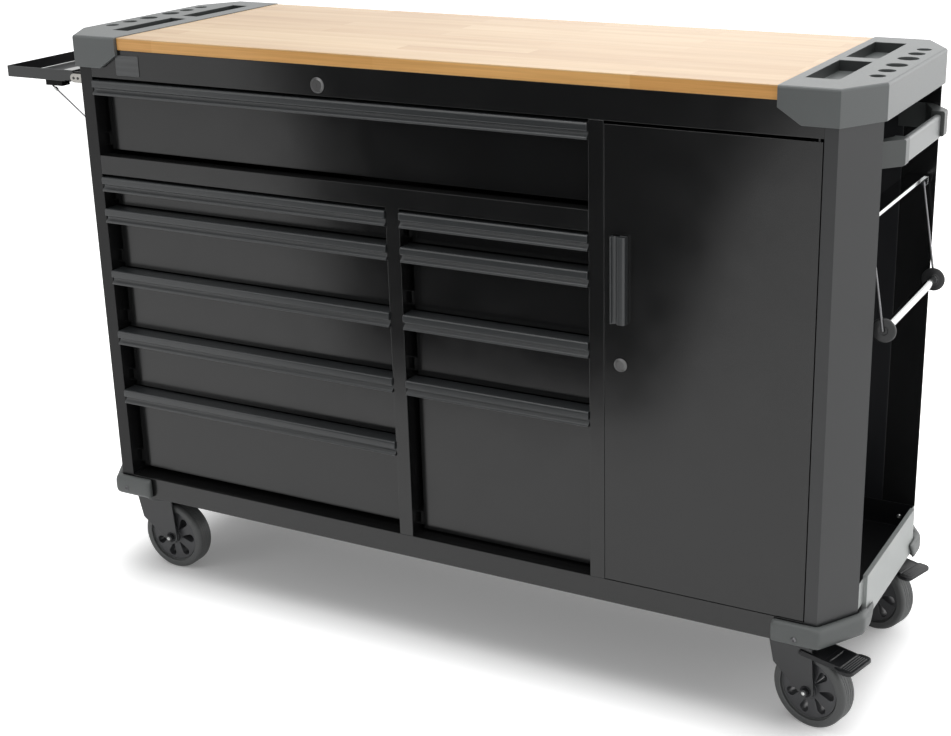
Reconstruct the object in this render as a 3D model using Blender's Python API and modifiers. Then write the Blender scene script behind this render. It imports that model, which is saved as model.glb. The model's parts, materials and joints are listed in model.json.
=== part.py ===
"""Rolling tool bench: sheet-metal carcass on swivel casters, ten drawers, a side cupboard, a wooden top
between two moulded caps, a folding shelf on the left and a push handle over an open niche on the right.

X runs along the front (left to right), Y from front to back, Z up. The floor is at zero."""

import math

import bmesh
import bpy
from mathutils import Matrix, Vector

# Body of the bench, in metres. Its height follows from the casters and the rows of drawers.
body_half_length = 0.7053
body_half_depth = 0.2246
corner_x = 0.0419
corner_y = 0.0686
sheet = 0.0012
gap = 0.0003
overrun = 0.01
merge_distance = 0.000003

# Casters
caster_side_inset = 0.0853
caster_front_inset = 0.0526
caster_trail = 0.030
plate_half = (0.050, 0.0425)
plate_thickness = 0.004
wheel_radius = 0.0635
wheel_half_width = 0.0175
tyre_round = 0.006
rim_radius = 0.0495
rim_edge = 0.0015
web_half = 0.0130
hub_radius = 0.013
axle_radius = 0.004
window_count = 7
window_tip = 0.0175
window_end = 0.0375
window_radius = 0.0058
leg_thickness = 0.003
leg_clearance = 0.003
leg_foot_radius = 0.0135
leg_top_back = 0.040
leg_top_front = 0.037
leg_waist_back = 0.030
leg_waist_rise = 0.0315
crown_clearance = 0.0075
crown_thickness = 0.004
raceway_height = 0.0117
raceway_radius = 0.030
bolt_radius = 0.006
bolt_proud = 0.008
yaws = {"front_left": -1, "front_right": 14, "rear_left": -24, "rear_right": 17.5}
pedal_pivot_reach = 0.020
pedal_pivot_drop = 0.006
pedal_pin_radius = 0.003
pedal_arm = 0.0025
pedal_arm_half = 0.0045
pedal_cover_near = 0.040
pedal_cover_thickness = 0.0015
pedal_plate_near = 0.086
pedal_plate_far = 0.111
pedal_plate_half = 0.033
pedal_plate_drop = 0.004
pedal_plate_thickness = 0.004
pedal_shoe_near = 0.060
pedal_shoe_far = 0.068
pedal_shoe_drop = 0.003

# Rows of the front, from the floor up: the base, the two banks of drawers, the top drawer, the fascia
base_height = 0.0388
shallow_drawer = 0.056
deep_drawer = 0.112
bottom_drawer = 0.1725
mid_rail_height = 0.0323
top_opening = 0.1354
fascia_height = 0.048
flange_depth = 0.024

# Upright edges of the front
post_width = 0.025
column_post_width = 0.0196
divider_post = 0.0249
right_bank_width = 0.3292
door_post = 0.0246
slide_space = 0.0127

# Wooden top and moulded caps
wood_thickness = 0.0205
wood_edge = 0.0012
wood_margin = 0.0057
cap_above_deck = 0.0218
cap_side_proud = 0.0047
cap_front_proud = 0.0071
cap_length = 0.1324
cap_wood_gap = 0.0006
cap_corner_x = 0.0436
cap_corner_y = 0.0741
cap_skirt = 0.0528
cap_round = 0.0035
cap_slant_start = 0.030
cap_slant_run = 0.0349
pocket_margin = 0.068
pocket_wall = {1: 0.0144, -1: 0.0294}
pocket_shares = ((-0.695, -0.0173), (0.1079, 0.7639))
pocket_depth = 0.016
hole_margin = 0.029
small_hole = 0.0115
middle_hole = 0.013
large_hole = 0.016
hole_shares = (-0.492, -0.2935, -0.0777, 0.1856, 0.3841, 0.5654)
hole_radii = (small_hole, middle_hole, large_hole, large_hole, middle_hole, small_hole)

# Drawers: how far each panel's lower edge stands above the ledge or reaches below its row
drawer_overlap = 0.0023
top_drawer_rise = 0.0072
left_drawer_rise = 0.012
right_drawer_rise = 0.0065
drawer_setback = 0.025
drawer_side_gap = 0.008
drawer_rear_space = 0.0242
slide_bar_thickness = 0.007
slide_bar_height = 0.020
slide_rise = 0.018
channel_reach = 0.0097

# Hooked pull strips
pull_drop = 0.005
pull_height = 0.0255
pull_proud = 0.004
pull_side_gap = 0.001
pull_wall = 0.0018
pull_band = 0.0115
pull_groove = 0.0035
pull_groove_depth = 0.0015
pull_lip = 0.010
pull_round = 0.004

# Door, its pins, pull and lock
door_width = 0.3255
door_hinge_gap = 0.0018
door_latch_gap = 0.001
door_foot_gap = 0.0015
door_head_gap = 0.005
door_depth = 0.018
hinge_inset = 0.006
hinge_setback = 0.004
hinge_pin_radius = 0.002
hinge_pin_reach = 0.0025
door_pull_inset = 0.038
door_pull_width = 0.0245
door_pull_depth = 0.0125
door_pull_length = 0.134
door_pull_foot = 0.012
door_pull_below_head = 0.1632
drawer_lock_shift = 0.00425
drawer_lock_rise = 0.0168
drawer_lock_radius = 0.0105
door_lock_inset = 0.0265
door_lock_drop = 0.067
door_lock_radius = 0.0085
lock_face = 0.002
lock_barrel = 0.022
lock_barrel_share = 0.82
lock_slot_share = 0.9
lock_slot_width = 0.0022

# Niche in the right side, and the loose shelf in the cupboard
niche_depth = 0.1003
niche_face = 0.0553
shelf_rise = 0.362
shelf_front_setback = 0.030
shelf_fold = 0.018
ledge_reach = 0.012

# Push handle
bar_proud = 0.0153
bar_thickness = 0.010
bar_below_deck = 0.0682
bar_height = 0.036
bar_round = 0.003
bar_end_space = 0.059
bar_socket = 0.008
bracket_wall = 0.006
bracket_over_bar = 0.0055
bracket_height = 0.038
bracket_cheek = 0.018
bracket_foot_length = 0.0505
bracket_root_inset = 0.0128
bracket_foot_thickness = 0.0035
bracket_back_wall = 0.0046
bracket_root_thickness = 0.0085
bracket_round = 0.003

# Roll holder
holder_inset = 0.0153
holder_width = 0.028
holder_below_deck = 0.1742
holder_lip = 0.006
bail_pivot_drop = 0.010
bail_end_space = 0.0135
bail_wire = 0.0018
bail_lug = 0.002
bail_lug_radius = 0.006
bail_drop = 0.152
roller_proud = 0.0102
roller_radius = 0.0068
roller_bore_gap = 0.00045
disc_radius = 0.0185
disc_thickness = 0.006
roller_end_gap = 0.0005

# Tray in the foot of the niche
tray_rise = 0.0025
tray_depth = 0.0425
tray_lip_proud = 0.006
tray_lip_side_gap = 0.023
tray_lip_drop = 0.026
tray_lip_rise = 0.005

# Folding shelf on the left, its hinge and its stay
shelf_length = 0.134
shelf_side_space = 0.006
shelf_height = 0.0197
shelf_axis_proud = 0.0517
shelf_axis_below_deck = 0.0662
shelf_axis_space = 0.014
shelf_axis_rise = 0.0105
shelf_ear_radius = 0.0085
shelf_pin_radius = 0.003
hinge_plate_thickness = 0.003
hinge_plate_half = 0.008
pad_start = 0.008
pad_length = 0.038
pad_drop = 0.0095
pad_width = 0.020
stay_pivot_proud = 0.006
stay_pivot_drop = 0.0955
stay_inset = 0.010
stay_wire = 0.0015
stay_top_inset = 0.006
stay_lug = 0.003
stay_lug_radius = 0.0055

# Bumpers
bumper_proud = 0.0131
bumper_reach = 0.0694
bumper_top_gap = 0.001
bumper_side_length = 0.054
bumper_rake = 0.025
bumper_step_gap = 0.0015
bumper_round = 0.0095

# Round shapes
round_steps = 20
small_steps = 12
bend_steps = 4
bumper_round_steps = 3
wheel_steps = 24
window_turn_share = 0.5

for old in list(bpy.data.objects):
    bpy.data.objects.remove(old, do_unlink=True)

bench = bpy.data.collections.new("tool_bench")
bpy.context.scene.collection.children.link(bench)
root = bpy.data.objects.new("bench_root", None)
bench.objects.link(root)


def paint(name, colour, roughness, metallic):
    """A plain surface in one colour."""
    material = bpy.data.materials.new(name)
    material.use_nodes = True
    surface = material.node_tree.nodes["Principled BSDF"]
    surface.inputs["Base Color"].default_value = (*colour, 1)
    surface.inputs["Roughness"].default_value = roughness
    surface.inputs["Metallic"].default_value = metallic
    return material


body_paint = ((0.020, 0.020, 0.021), 0.35, 0.0)
pull_paint = ((0.030, 0.030, 0.031), 0.40, 0.0)
cap_plastic = ((0.085, 0.092, 0.092), 0.55, 0.0)
plated_steel = ((0.40, 0.41, 0.41), 0.4, 0.9)
dark_sheet = ((0.010, 0.010, 0.012), 0.4, 0.0)
beech = ((0.70, 0.53, 0.33), 0.5, 0.0)
chrome = ((0.8, 0.8, 0.8), 0.1, 1.0)
black_plastic = ((0.025, 0.025, 0.026), 0.5, 0.0)
wheel_black = ((0.030, 0.030, 0.031), 0.6, 0.0)


def transformed(mesh, matrix):
    mesh.transform(matrix)
    if matrix.determinant() < 0:
        mesh.flip_normals()
    return mesh


def to_mesh(holder):
    """The evaluated shape of a working object, which is then removed."""
    bpy.context.view_layer.update()
    graph = bpy.context.evaluated_depsgraph_get()
    mesh = bpy.data.meshes.new_from_object(holder.evaluated_get(graph))
    bpy.data.objects.remove(holder, do_unlink=True)
    return mesh


def work_object(data):
    holder = bpy.data.objects.new("work", data)
    bpy.context.scene.collection.objects.link(holder)
    return holder


def welded(mesh):
    shape = bmesh.new()
    shape.from_mesh(mesh)
    bmesh.ops.remove_doubles(shape, verts=shape.verts, dist=merge_distance)
    bmesh.ops.recalc_face_normals(shape, faces=shape.faces)
    shape.to_mesh(mesh)
    shape.free()
    return mesh


def outline(loops, axis, start, end):
    """A flat outline, with any holes in it, carried along one axis. Its points are (X, Y) along Z,
    (Y, Z) along X and (X, Z) along Y."""
    curve = bpy.data.curves.new("outline", "CURVE")
    curve.dimensions = "2D"
    curve.fill_mode = "BOTH"
    curve.extrude = (end - start) / 2
    for loop in loops:
        spline = curve.splines.new("POLY")
        spline.points.add(len(loop) - 1)
        for point, (across, up) in zip(spline.points, loop):
            point.co = (across, up, 0, 1)
        spline.use_cyclic_u = True
    mesh = welded(to_mesh(work_object(curve)))
    turn = {
        "X": Matrix(((0, 0, 1), (1, 0, 0), (0, 1, 0))),
        "Y": Matrix(((1, 0, 0), (0, 0, -1), (0, 1, 0))),
        "Z": Matrix.Identity(3),
    }[axis]
    along = {"X": Vector((1, 0, 0)), "Y": Vector((0, 1, 0)), "Z": Vector((0, 0, 1))}[axis]
    return transformed(mesh, Matrix.Translation(along * (start + end) / 2) @ turn.to_4x4())


def block(low, high, rounding=0.0):
    """A box between two corners, with its edges rounded if asked."""
    shape = bmesh.new()
    bmesh.ops.create_cube(shape, size=1)
    size = Vector(high) - Vector(low)
    bmesh.ops.scale(shape, vec=size, verts=shape.verts)
    bmesh.ops.translate(shape, vec=Vector(low) + size / 2, verts=shape.verts)
    if rounding:
        bmesh.ops.bevel(
            shape, geom=shape.edges[:], offset=rounding, segments=2, profile=0.5, affect="EDGES"
        )
    mesh = bpy.data.meshes.new("block")
    shape.to_mesh(mesh)
    shape.free()
    return mesh


def rod(centre, axis, start, end, radius, steps=small_steps):
    """A round bar along one axis. Its centre is given in the two other axes, in X, Y, Z order."""
    shape = bmesh.new()
    bmesh.ops.create_cone(
        shape, cap_ends=True, segments=steps, radius1=radius, radius2=radius, depth=end - start
    )
    mesh = bpy.data.meshes.new("rod")
    shape.to_mesh(mesh)
    shape.free()
    middle = (start + end) / 2
    turns = {"X": ("Y", math.pi / 2), "Y": ("X", -math.pi / 2), "Z": ("Z", 0)}
    places = {
        "X": (middle, centre[0], centre[1]),
        "Y": (centre[0], middle, centre[1]),
        "Z": (centre[0], centre[1], middle),
    }
    turn = Matrix.Rotation(turns[axis][1], 4, turns[axis][0])
    return transformed(mesh, Matrix.Translation(places[axis]) @ turn)


def group(meshes):
    """Several separate shapes in one mesh, for one cut or one join."""
    shape = bmesh.new()
    for mesh in meshes:
        shape.from_mesh(mesh)
    joined = bpy.data.meshes.new("group")
    shape.to_mesh(joined)
    shape.free()
    return joined


def combined(base, tool, operation):
    target = work_object(base)
    other = work_object(tool)
    modifier = target.modifiers.new("Boolean", "BOOLEAN")
    modifier.solver = "EXACT"
    modifier.operation = operation
    modifier.object = other
    mesh = to_mesh(target)
    bpy.data.objects.remove(other, do_unlink=True)
    return mesh


def joined(base, *others):
    for other in others:
        base = combined(base, other, "UNION")
    return base


def cut(base, *tools):
    for tool in tools:
        base = combined(base, tool, "DIFFERENCE")
    return base


def open_box(low, high, open_axis, side, thickness=sheet):
    """A folded sheet box without one face, made from an open surface given a thickness inwards."""
    shape = bmesh.new()
    bmesh.ops.create_cube(shape, size=1)
    size = Vector(high) - Vector(low)
    bmesh.ops.scale(shape, vec=size, verts=shape.verts)
    bmesh.ops.translate(shape, vec=Vector(low) + size / 2, verts=shape.verts)
    lid = [face for face in shape.faces if face.normal[open_axis] * side > 0.5]
    bmesh.ops.delete(shape, geom=lid, context="FACES_ONLY")
    mesh = bpy.data.meshes.new("open_box")
    shape.to_mesh(mesh)
    shape.free()
    holder = work_object(mesh)
    modifier = holder.modifiers.new("Solidify", "SOLIDIFY")
    modifier.thickness = thickness
    modifier.offset = -1
    modifier.use_even_offset = True
    return to_mesh(holder)


def turned(profile, steps=round_steps):
    """A closed profile of (radius, height) points turned about Z. It runs down its outer side."""
    mesh = bpy.data.meshes.new("profile")
    points = [(radius, 0, height) for radius, height in profile]
    edges = [(index, (index + 1) % len(points)) for index in range(len(points))]
    mesh.from_pydata(points, edges, [])
    holder = work_object(mesh)
    modifier = holder.modifiers.new("Screw", "SCREW")
    modifier.axis = "Z"
    modifier.steps = steps
    modifier.render_steps = steps
    modifier.use_merge_vertices = True
    modifier.merge_threshold = merge_distance
    modifier.use_normal_calculate = False
    return welded(to_mesh(holder))


def wire(points, radius, bend):
    """A bent round wire, with its corners turned on the bend radius."""
    path = [Vector(points[0])]
    for before, corner, after in zip(points, points[1:], points[2:]):
        corner = Vector(corner)
        back = (Vector(before) - corner).normalized() * bend
        ahead = (Vector(after) - corner).normalized() * bend
        for step in range(bend_steps + 1):
            share = step / bend_steps
            path.append(corner + back * (1 - share) ** 2 + ahead * share**2)
    path.append(Vector(points[-1]))
    curve = bpy.data.curves.new("wire", "CURVE")
    curve.dimensions = "3D"
    curve.bevel_depth = radius
    curve.bevel_resolution = 1
    curve.use_fill_caps = True
    spline = curve.splines.new("POLY")
    spline.points.add(len(path) - 1)
    for point, place in zip(spline.points, path):
        point.co = (*place, 1)
    return welded(to_mesh(work_object(curve)))


def round_edges(mesh, chosen, radius, segments=2):
    """Rounds the edges that a test on their two ends picks out."""
    shape = bmesh.new()
    shape.from_mesh(mesh)
    bmesh.ops.dissolve_limit(shape, angle_limit=math.radians(1), verts=shape.verts, edges=shape.edges)
    edges = [edge for edge in shape.edges if chosen(edge.verts[0].co, edge.verts[1].co)]
    bmesh.ops.bevel(shape, geom=edges, offset=radius, segments=segments, profile=0.5, affect="EDGES")
    shape.to_mesh(mesh)
    shape.free()
    return mesh


def arc(centre, radius, start, end, steps):
    """Points on a round stretch, from one angle in degrees to another."""
    points = []
    for index in range(steps + 1):
        angle = math.radians(start + (end - start) * index / steps)
        points.append((centre[0] + radius * math.cos(angle), centre[1] + radius * math.sin(angle)))
    return points


def node(name, mesh, look, origin=(0, 0, 0), parent=None, turn=0.0):
    """One named piece of the bench. Its mesh, drawn in the bench's frame, is moved onto its own origin."""
    mesh = transformed(mesh, Matrix.Translation(-Vector(origin)))
    mesh.name = name
    mesh.materials.clear()
    mesh.materials.append(paint(name, *look))
    mesh.shade_smooth()
    mesh.set_sharp_from_angle(angle=math.radians(35))
    piece = bpy.data.objects.new(name, mesh)
    piece.location = origin
    piece.rotation_euler[2] = turn
    piece.parent = parent or root
    bench.objects.link(piece)
    return piece


# Places that several pieces share
front = -body_half_depth
rear = body_half_depth
corner_start = body_half_length - corner_x
side_half = body_half_depth - corner_y
niche_half_width = side_half
caster_x = body_half_length - caster_side_inset
caster_y = body_half_depth - caster_front_inset
crown_bottom = 2 * wheel_radius + crown_clearance
base_bottom = crown_bottom + crown_thickness + raceway_height + plate_thickness
base_top = base_bottom + base_height
left_heights = (shallow_drawer, deep_drawer, deep_drawer, deep_drawer, bottom_drawer)
right_heights = (shallow_drawer, deep_drawer, deep_drawer, deep_drawer + bottom_drawer)
mid_rail_bottom = base_top + sum(left_heights)
mid_rail_top = mid_rail_bottom + mid_rail_height
fascia_bottom = mid_rail_top + top_opening
deck_top = fascia_bottom + fascia_height
total_height = deck_top + cap_above_deck
left_post_edge = -corner_start + post_width
left_wall = -corner_start + post_width - slide_space + drawer_side_gap
right_post_edge = corner_start - column_post_width
right_wall = right_post_edge + gap
door_right = right_post_edge - door_hinge_gap
door_left = door_right - door_width
door_post_edge = door_left - door_latch_gap
door_divider_left = door_post_edge - door_post
divider_right_edge = door_divider_left - right_bank_width
divider_left_edge = divider_right_edge - divider_post
door_bottom = base_top + door_foot_gap
door_top = fascia_bottom - door_head_gap
panel_inner = rear - 2 * sheet - gap
inner_rear = panel_inner - gap
drawer_front = front + drawer_setback
drawer_length = rear - drawer_rear_space - drawer_front
wall_setback = slide_space - drawer_side_gap
pull_front = front - pull_proud
column_floor = base_bottom + sheet / 2 + gap
niche_back = body_half_length - niche_depth
niche_seam = body_half_length - niche_face
shelf_level = base_top + shelf_rise
holder_outer = body_half_length - holder_inset
holder_level = deck_top - holder_below_deck
bail_pivot = (holder_outer, holder_level - bail_pivot_drop)
bail_half_width = niche_half_width - bail_end_space
tray_lip_outer = body_half_length + tray_lip_proud
tray_lip_half = niche_half_width - tray_lip_side_gap
shelf_half = side_half - shelf_side_space
shelf_axis = (body_half_length + shelf_axis_proud, deck_top - shelf_axis_below_deck)
shelf_inner = shelf_axis[0] + shelf_axis_space
shelf_bottom = shelf_axis[1] - shelf_axis_rise
pad_near = shelf_inner + pad_start
pad_far = pad_near + pad_length
pad_bottom = shelf_bottom - pad_drop
stay_pivot = (body_half_length + stay_pivot_proud, shelf_axis[1] - stay_pivot_drop)
stay_half = shelf_half - stay_inset
cap_half_length = body_half_length + cap_side_proud
cap_half_depth = body_half_depth + cap_front_proud
cap_inner = cap_half_length - cap_length


def rows(heights):
    """The levels that divide a bank of drawers, from the top down."""
    return [mid_rail_bottom - sum(heights[:index]) for index in range(len(heights) + 1)]


def panel_edges(lines, rise):
    """The lower edge of each drawer in a bank. The lowest stands clear of the base."""
    return [line - drawer_overlap for line in lines[1:-1]] + [base_top + rise]


left_lines = rows(left_heights)
right_lines = rows(right_heights)
levels = {
    "top": ((fascia_bottom, mid_rail_top), (mid_rail_top + top_drawer_rise,)),
    "left": (left_lines, panel_edges(left_lines, left_drawer_rise)),
    "right": (right_lines, panel_edges(right_lines, right_drawer_rise)),
}
bank_edges = {
    "top": (left_post_edge, door_divider_left),
    "left": (left_post_edge, divider_left_edge),
    "right": (divider_right_edge, door_divider_left),
}
drawer_lock_place = (
    (left_post_edge + door_divider_left) / 2 - drawer_lock_shift,
    fascia_bottom + drawer_lock_rise,
)
door_pull_right = door_left + door_pull_inset
door_pull_top = door_top - door_pull_below_head
door_pull_bottom = door_pull_top - door_pull_length
door_lock_place = (door_left + door_lock_inset, door_pull_bottom - door_lock_drop)


def slide_levels(bank):
    return [bottom + slide_rise for bottom in levels[bank][1]]


def channels(wall, side, heights):
    """The fixed slide channels on one wall: two flanges above and below each slide bar."""
    flanges = []
    reach = sorted((wall - side * sheet / 2, wall + side * channel_reach))
    for height in heights:
        for direction in (-1, 1):
            near = height + direction * (slide_bar_height / 2 + gap)
            low, high = sorted((near, near + direction * sheet))
            flanges.append(
                block((reach[0], drawer_front, low), (reach[1], drawer_front + drawer_length, high))
            )
    return group(flanges)


def folded(points, thickness):
    """The outline of a folded sheet: its outer line, and the same line set back by the thickness."""
    outer = [Vector(point) for point in points]
    inner = []
    for index, point in enumerate(outer):
        ways = []
        if index:
            ways.append((point - outer[index - 1]).normalized())
        if index < len(outer) - 1:
            ways.append((outer[index + 1] - point).normalized())
        normals = [Vector((-way.y, way.x)) for way in ways]
        across = sum(normals, Vector((0, 0))).normalized()
        inner.append(point + across * thickness / across.dot(normals[0]))
    return [tuple(point) for point in outer + inner[::-1]]


def inset(loop, distance):
    """A closed outline, drawn anticlockwise, moved inwards by one distance."""
    points = [Vector(point) for point in loop]
    inner = []
    for before, point, after in zip(points[-1:] + points[:-1], points, points[1:] + points[:1]):
        normals = [Vector((-way.y, way.x)).normalized() for way in (point - before, after - point)]
        across = (normals[0] + normals[1]).normalized()
        inner.append(tuple(point + across * distance / across.dot(normals[0])))
    return inner


def left_side():
    """Folded side with its front post, the liner that carries the drawer slides, and the shelf's hinge."""
    skin = folded(
        (
            (left_post_edge, rear),
            (-corner_start, rear),
            (-body_half_length, side_half),
            (-body_half_length, -side_half),
            (-corner_start, front),
            (left_post_edge, front),
        ),
        sheet,
    )
    side = outline([skin], "Z", column_floor, deck_top)
    liner = block(
        (left_wall - sheet, front + sheet / 2, base_top + gap),
        (left_wall, inner_rear, deck_top - sheet - gap),
    )
    heights = slide_levels("top") + slide_levels("left")
    plates = []
    for way in (-1, 1):
        outer = way * (shelf_half - sheet - gap)
        inner = outer - way * hinge_plate_thickness
        span = sorted((outer, inner))
        tip = arc((-shelf_axis[0], shelf_axis[1]), hinge_plate_half, 270, 90, 8)
        root_x = -body_half_length + sheet / 2
        upper, lower = shelf_axis[1] + hinge_plate_half, shelf_axis[1] - hinge_plate_half
        strap = [*tip, (root_x, upper), (root_x, lower)]
        bore = arc((-shelf_axis[0], shelf_axis[1]), shelf_pin_radius + gap, 0, 330, 11)
        plates.append(outline([strap, bore], "Y", *span))
        lug_outer = way * (stay_half - stay_wire - gap)
        lug_span = sorted((lug_outer, lug_outer - way * stay_lug))
        tip = arc((-stay_pivot[0], stay_pivot[1]), stay_lug_radius, 270, 90, 6)
        ear = [*tip, (root_x, stay_pivot[1] + stay_lug_radius), (root_x, stay_pivot[1] - stay_lug_radius)]
        eye = arc((-stay_pivot[0], stay_pivot[1]), stay_wire + gap, 0, 330, 11)
        plates.append(outline([ear, eye], "Y", *lug_span))
    mesh = joined(side, liner, channels(left_wall, 1, heights), group(plates))
    return node("left_side", mesh, body_paint)


def right_column(way, name):
    """Corner column beside the niche: post, slanted corner and niche wall in one closed fold."""
    notch = niche_half_width + sheet + 2 * gap
    outer = [
        (right_post_edge, front),
        (corner_start, front),
        (body_half_length, -niche_half_width),
        (niche_seam + gap, -niche_half_width),
        (niche_seam + gap, -notch),
        (right_post_edge, -notch),
    ]
    inner = inset(outer, sheet)
    mesh = outline([outer], "Z", column_floor, deck_top)
    mesh = cut(mesh, outline([inner], "Z", column_floor - overrun, deck_top + overrun))
    if way > 0:
        mesh = transformed(mesh, Matrix.Scale(-1, 4, (0, 1, 0)))
    return node(name, mesh, body_paint)


def niche_panel():
    """Folded pan that backs the niche, with a ledge for the loose shelf behind it."""
    skin = folded(
        (
            (niche_seam, niche_half_width),
            (niche_back, niche_half_width),
            (niche_back, -niche_half_width),
            (niche_seam, -niche_half_width),
        ),
        -sheet,
    )
    pan = outline([skin], "Z", base_top + gap, deck_top - sheet - gap)
    ledge = block(
        (niche_back - sheet - ledge_reach, -niche_half_width, shelf_level - sheet),
        (niche_back - sheet / 2, niche_half_width, shelf_level),
    )
    return node("niche_panel", joined(pan, ledge), dark_sheet)


def back_panel():
    low = (left_wall + gap, panel_inner, base_top + gap)
    high = (right_wall - 2 * gap, panel_inner + sheet, deck_top - sheet - gap)
    return node("back_panel", block(low, high), body_paint)


def hinge_axis():
    return door_right - hinge_inset, front + hinge_setback


def base_pan():
    """Double-walled floor, open at both ends, with the bottom rail and the four caster plates."""
    outer = [(front, base_bottom), (rear, base_bottom), (rear, base_top), (front, base_top)]
    inner = [
        (front + sheet, base_bottom + sheet),
        (rear - sheet, base_bottom + sheet),
        (rear - sheet, base_top - sheet),
        (front + sheet, base_top - sheet),
    ]
    floor = outline([outer, inner], "X", left_post_edge + gap, right_post_edge - gap)
    plates = []
    for across in (-1, 1):
        for along in (-1, 1):
            centre = Vector((across * caster_x, along * caster_y))
            low = (centre.x - plate_half[0], centre.y - plate_half[1], base_bottom - plate_thickness)
            high = (centre.x + plate_half[0], centre.y + plate_half[1], base_bottom + sheet / 2)
            plates.append(block(low, high))
    hole_bottom = base_top - sheet - hinge_pin_reach
    pin_hole = rod(
        hinge_axis(), "Z", hole_bottom, base_top + hinge_pin_reach, hinge_pin_radius + gap
    )
    return node("base_pan", cut(joined(floor, group(plates)), pin_hole), body_paint)


def top_frame():
    """Deck under the wooden top, folded down in front into the fascia."""
    section = [
        (front, fascia_bottom),
        (front + flange_depth, fascia_bottom),
        (front + flange_depth, fascia_bottom + sheet),
        (front + sheet, fascia_bottom + sheet),
        (front + sheet, deck_top - sheet),
        (inner_rear - sheet, deck_top - sheet),
        (inner_rear - sheet, deck_top - shelf_fold),
        (inner_rear, deck_top - shelf_fold),
        (inner_rear, deck_top),
        (front, deck_top),
    ]
    frame = outline([section], "X", left_post_edge + gap, right_post_edge - gap)
    pin_hole = rod(
        hinge_axis(), "Z", fascia_bottom - overrun, fascia_bottom + overrun, hinge_pin_radius + gap
    )
    barrel = drawer_lock_radius * lock_barrel_share
    lock_hole = rod(drawer_lock_place, "Y", front - overrun, front + overrun, barrel + gap, round_steps)
    return node("top_frame", cut(frame, pin_hole, lock_hole), body_paint)


def post_section(left_edge, right_edge, left_face, right_face, low, high):
    """A hollow upright: the post's face in front, and two walls running back from it."""
    face = block((left_edge, front, low), (right_edge, front + sheet, high))
    section = [
        (left_face, front + sheet / 2),
        (right_face, front + sheet / 2),
        (right_face, inner_rear),
        (right_face - sheet, inner_rear),
        (right_face - sheet, front + 2 * sheet),
        (left_face + sheet, front + 2 * sheet),
        (left_face + sheet, inner_rear),
        (left_face, inner_rear),
    ]
    return face, outline([section], "Z", low, high)


def drawer_divider():
    """The middle post between the two banks of drawers, with the rail above them."""
    low = base_top + gap
    high = mid_rail_bottom + sheet / 2
    left_face = divider_left_edge + wall_setback
    right_face = divider_right_edge - wall_setback
    face, walls = post_section(divider_left_edge, divider_right_edge, left_face, right_face, low, high)
    rail_section = [
        (front, mid_rail_bottom),
        (front + flange_depth, mid_rail_bottom),
        (front + flange_depth, mid_rail_bottom + sheet),
        (front + sheet, mid_rail_bottom + sheet),
        (front + sheet, mid_rail_top - sheet),
        (front + flange_depth, mid_rail_top - sheet),
        (front + flange_depth, mid_rail_top),
        (front, mid_rail_top),
    ]
    rail = outline([rail_section], "X", left_post_edge + gap, door_divider_left - gap)
    left_slides = channels(left_face, -1, slide_levels("left"))
    right_slides = channels(right_face, 1, slide_levels("right"))
    mesh = joined(walls, face, rail, left_slides, right_slides)
    return node("drawer_divider", mesh, body_paint)


def door_divider():
    """The post and walls between the drawers and the cupboard."""
    low = base_top + gap
    high = fascia_bottom - gap
    left_face = door_divider_left + wall_setback
    right_face = door_post_edge - wall_setback
    face, walls = post_section(door_divider_left, door_post_edge, left_face, right_face, low, high)
    slides = channels(left_face, -1, slide_levels("top") + slide_levels("right"))
    ledge = block(
        (right_face - sheet / 2, front + shelf_front_setback, shelf_level - sheet),
        (right_face + ledge_reach, inner_rear, shelf_level),
    )
    upper = block(
        (left_face, front + flange_depth + gap, high - sheet / 2),
        (left_face + sheet, inner_rear - shelf_fold, deck_top - sheet - gap),
    )
    return node("door_divider", joined(walls, face, slides, ledge, upper), body_paint)


def cabinet_shelf():
    """Loose shelf in the cupboard: a sheet folded down at the front and the back."""
    low = shelf_level + gap
    high = low + shelf_fold
    y_front = front + shelf_front_setback
    section = [
        (y_front, low),
        (y_front + sheet, low),
        (y_front + sheet, high - sheet),
        (inner_rear - gap - sheet, high - sheet),
        (inner_rear - gap - sheet, low),
        (inner_rear - gap, low),
        (inner_rear - gap, high),
        (y_front, high),
    ]
    left = door_post_edge - wall_setback + gap
    right = niche_back - sheet - gap
    return node("cabinet_shelf", outline([section], "X", left, right), body_paint)


def wood_top():
    half_length = cap_inner - cap_wood_gap
    half_depth = cap_half_depth - wood_margin
    low = (-half_length, -half_depth, deck_top + gap)
    high = (half_length, half_depth, deck_top + gap + wood_thickness)
    return node("wood_top", block(low, high, wood_edge), beech)


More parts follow.
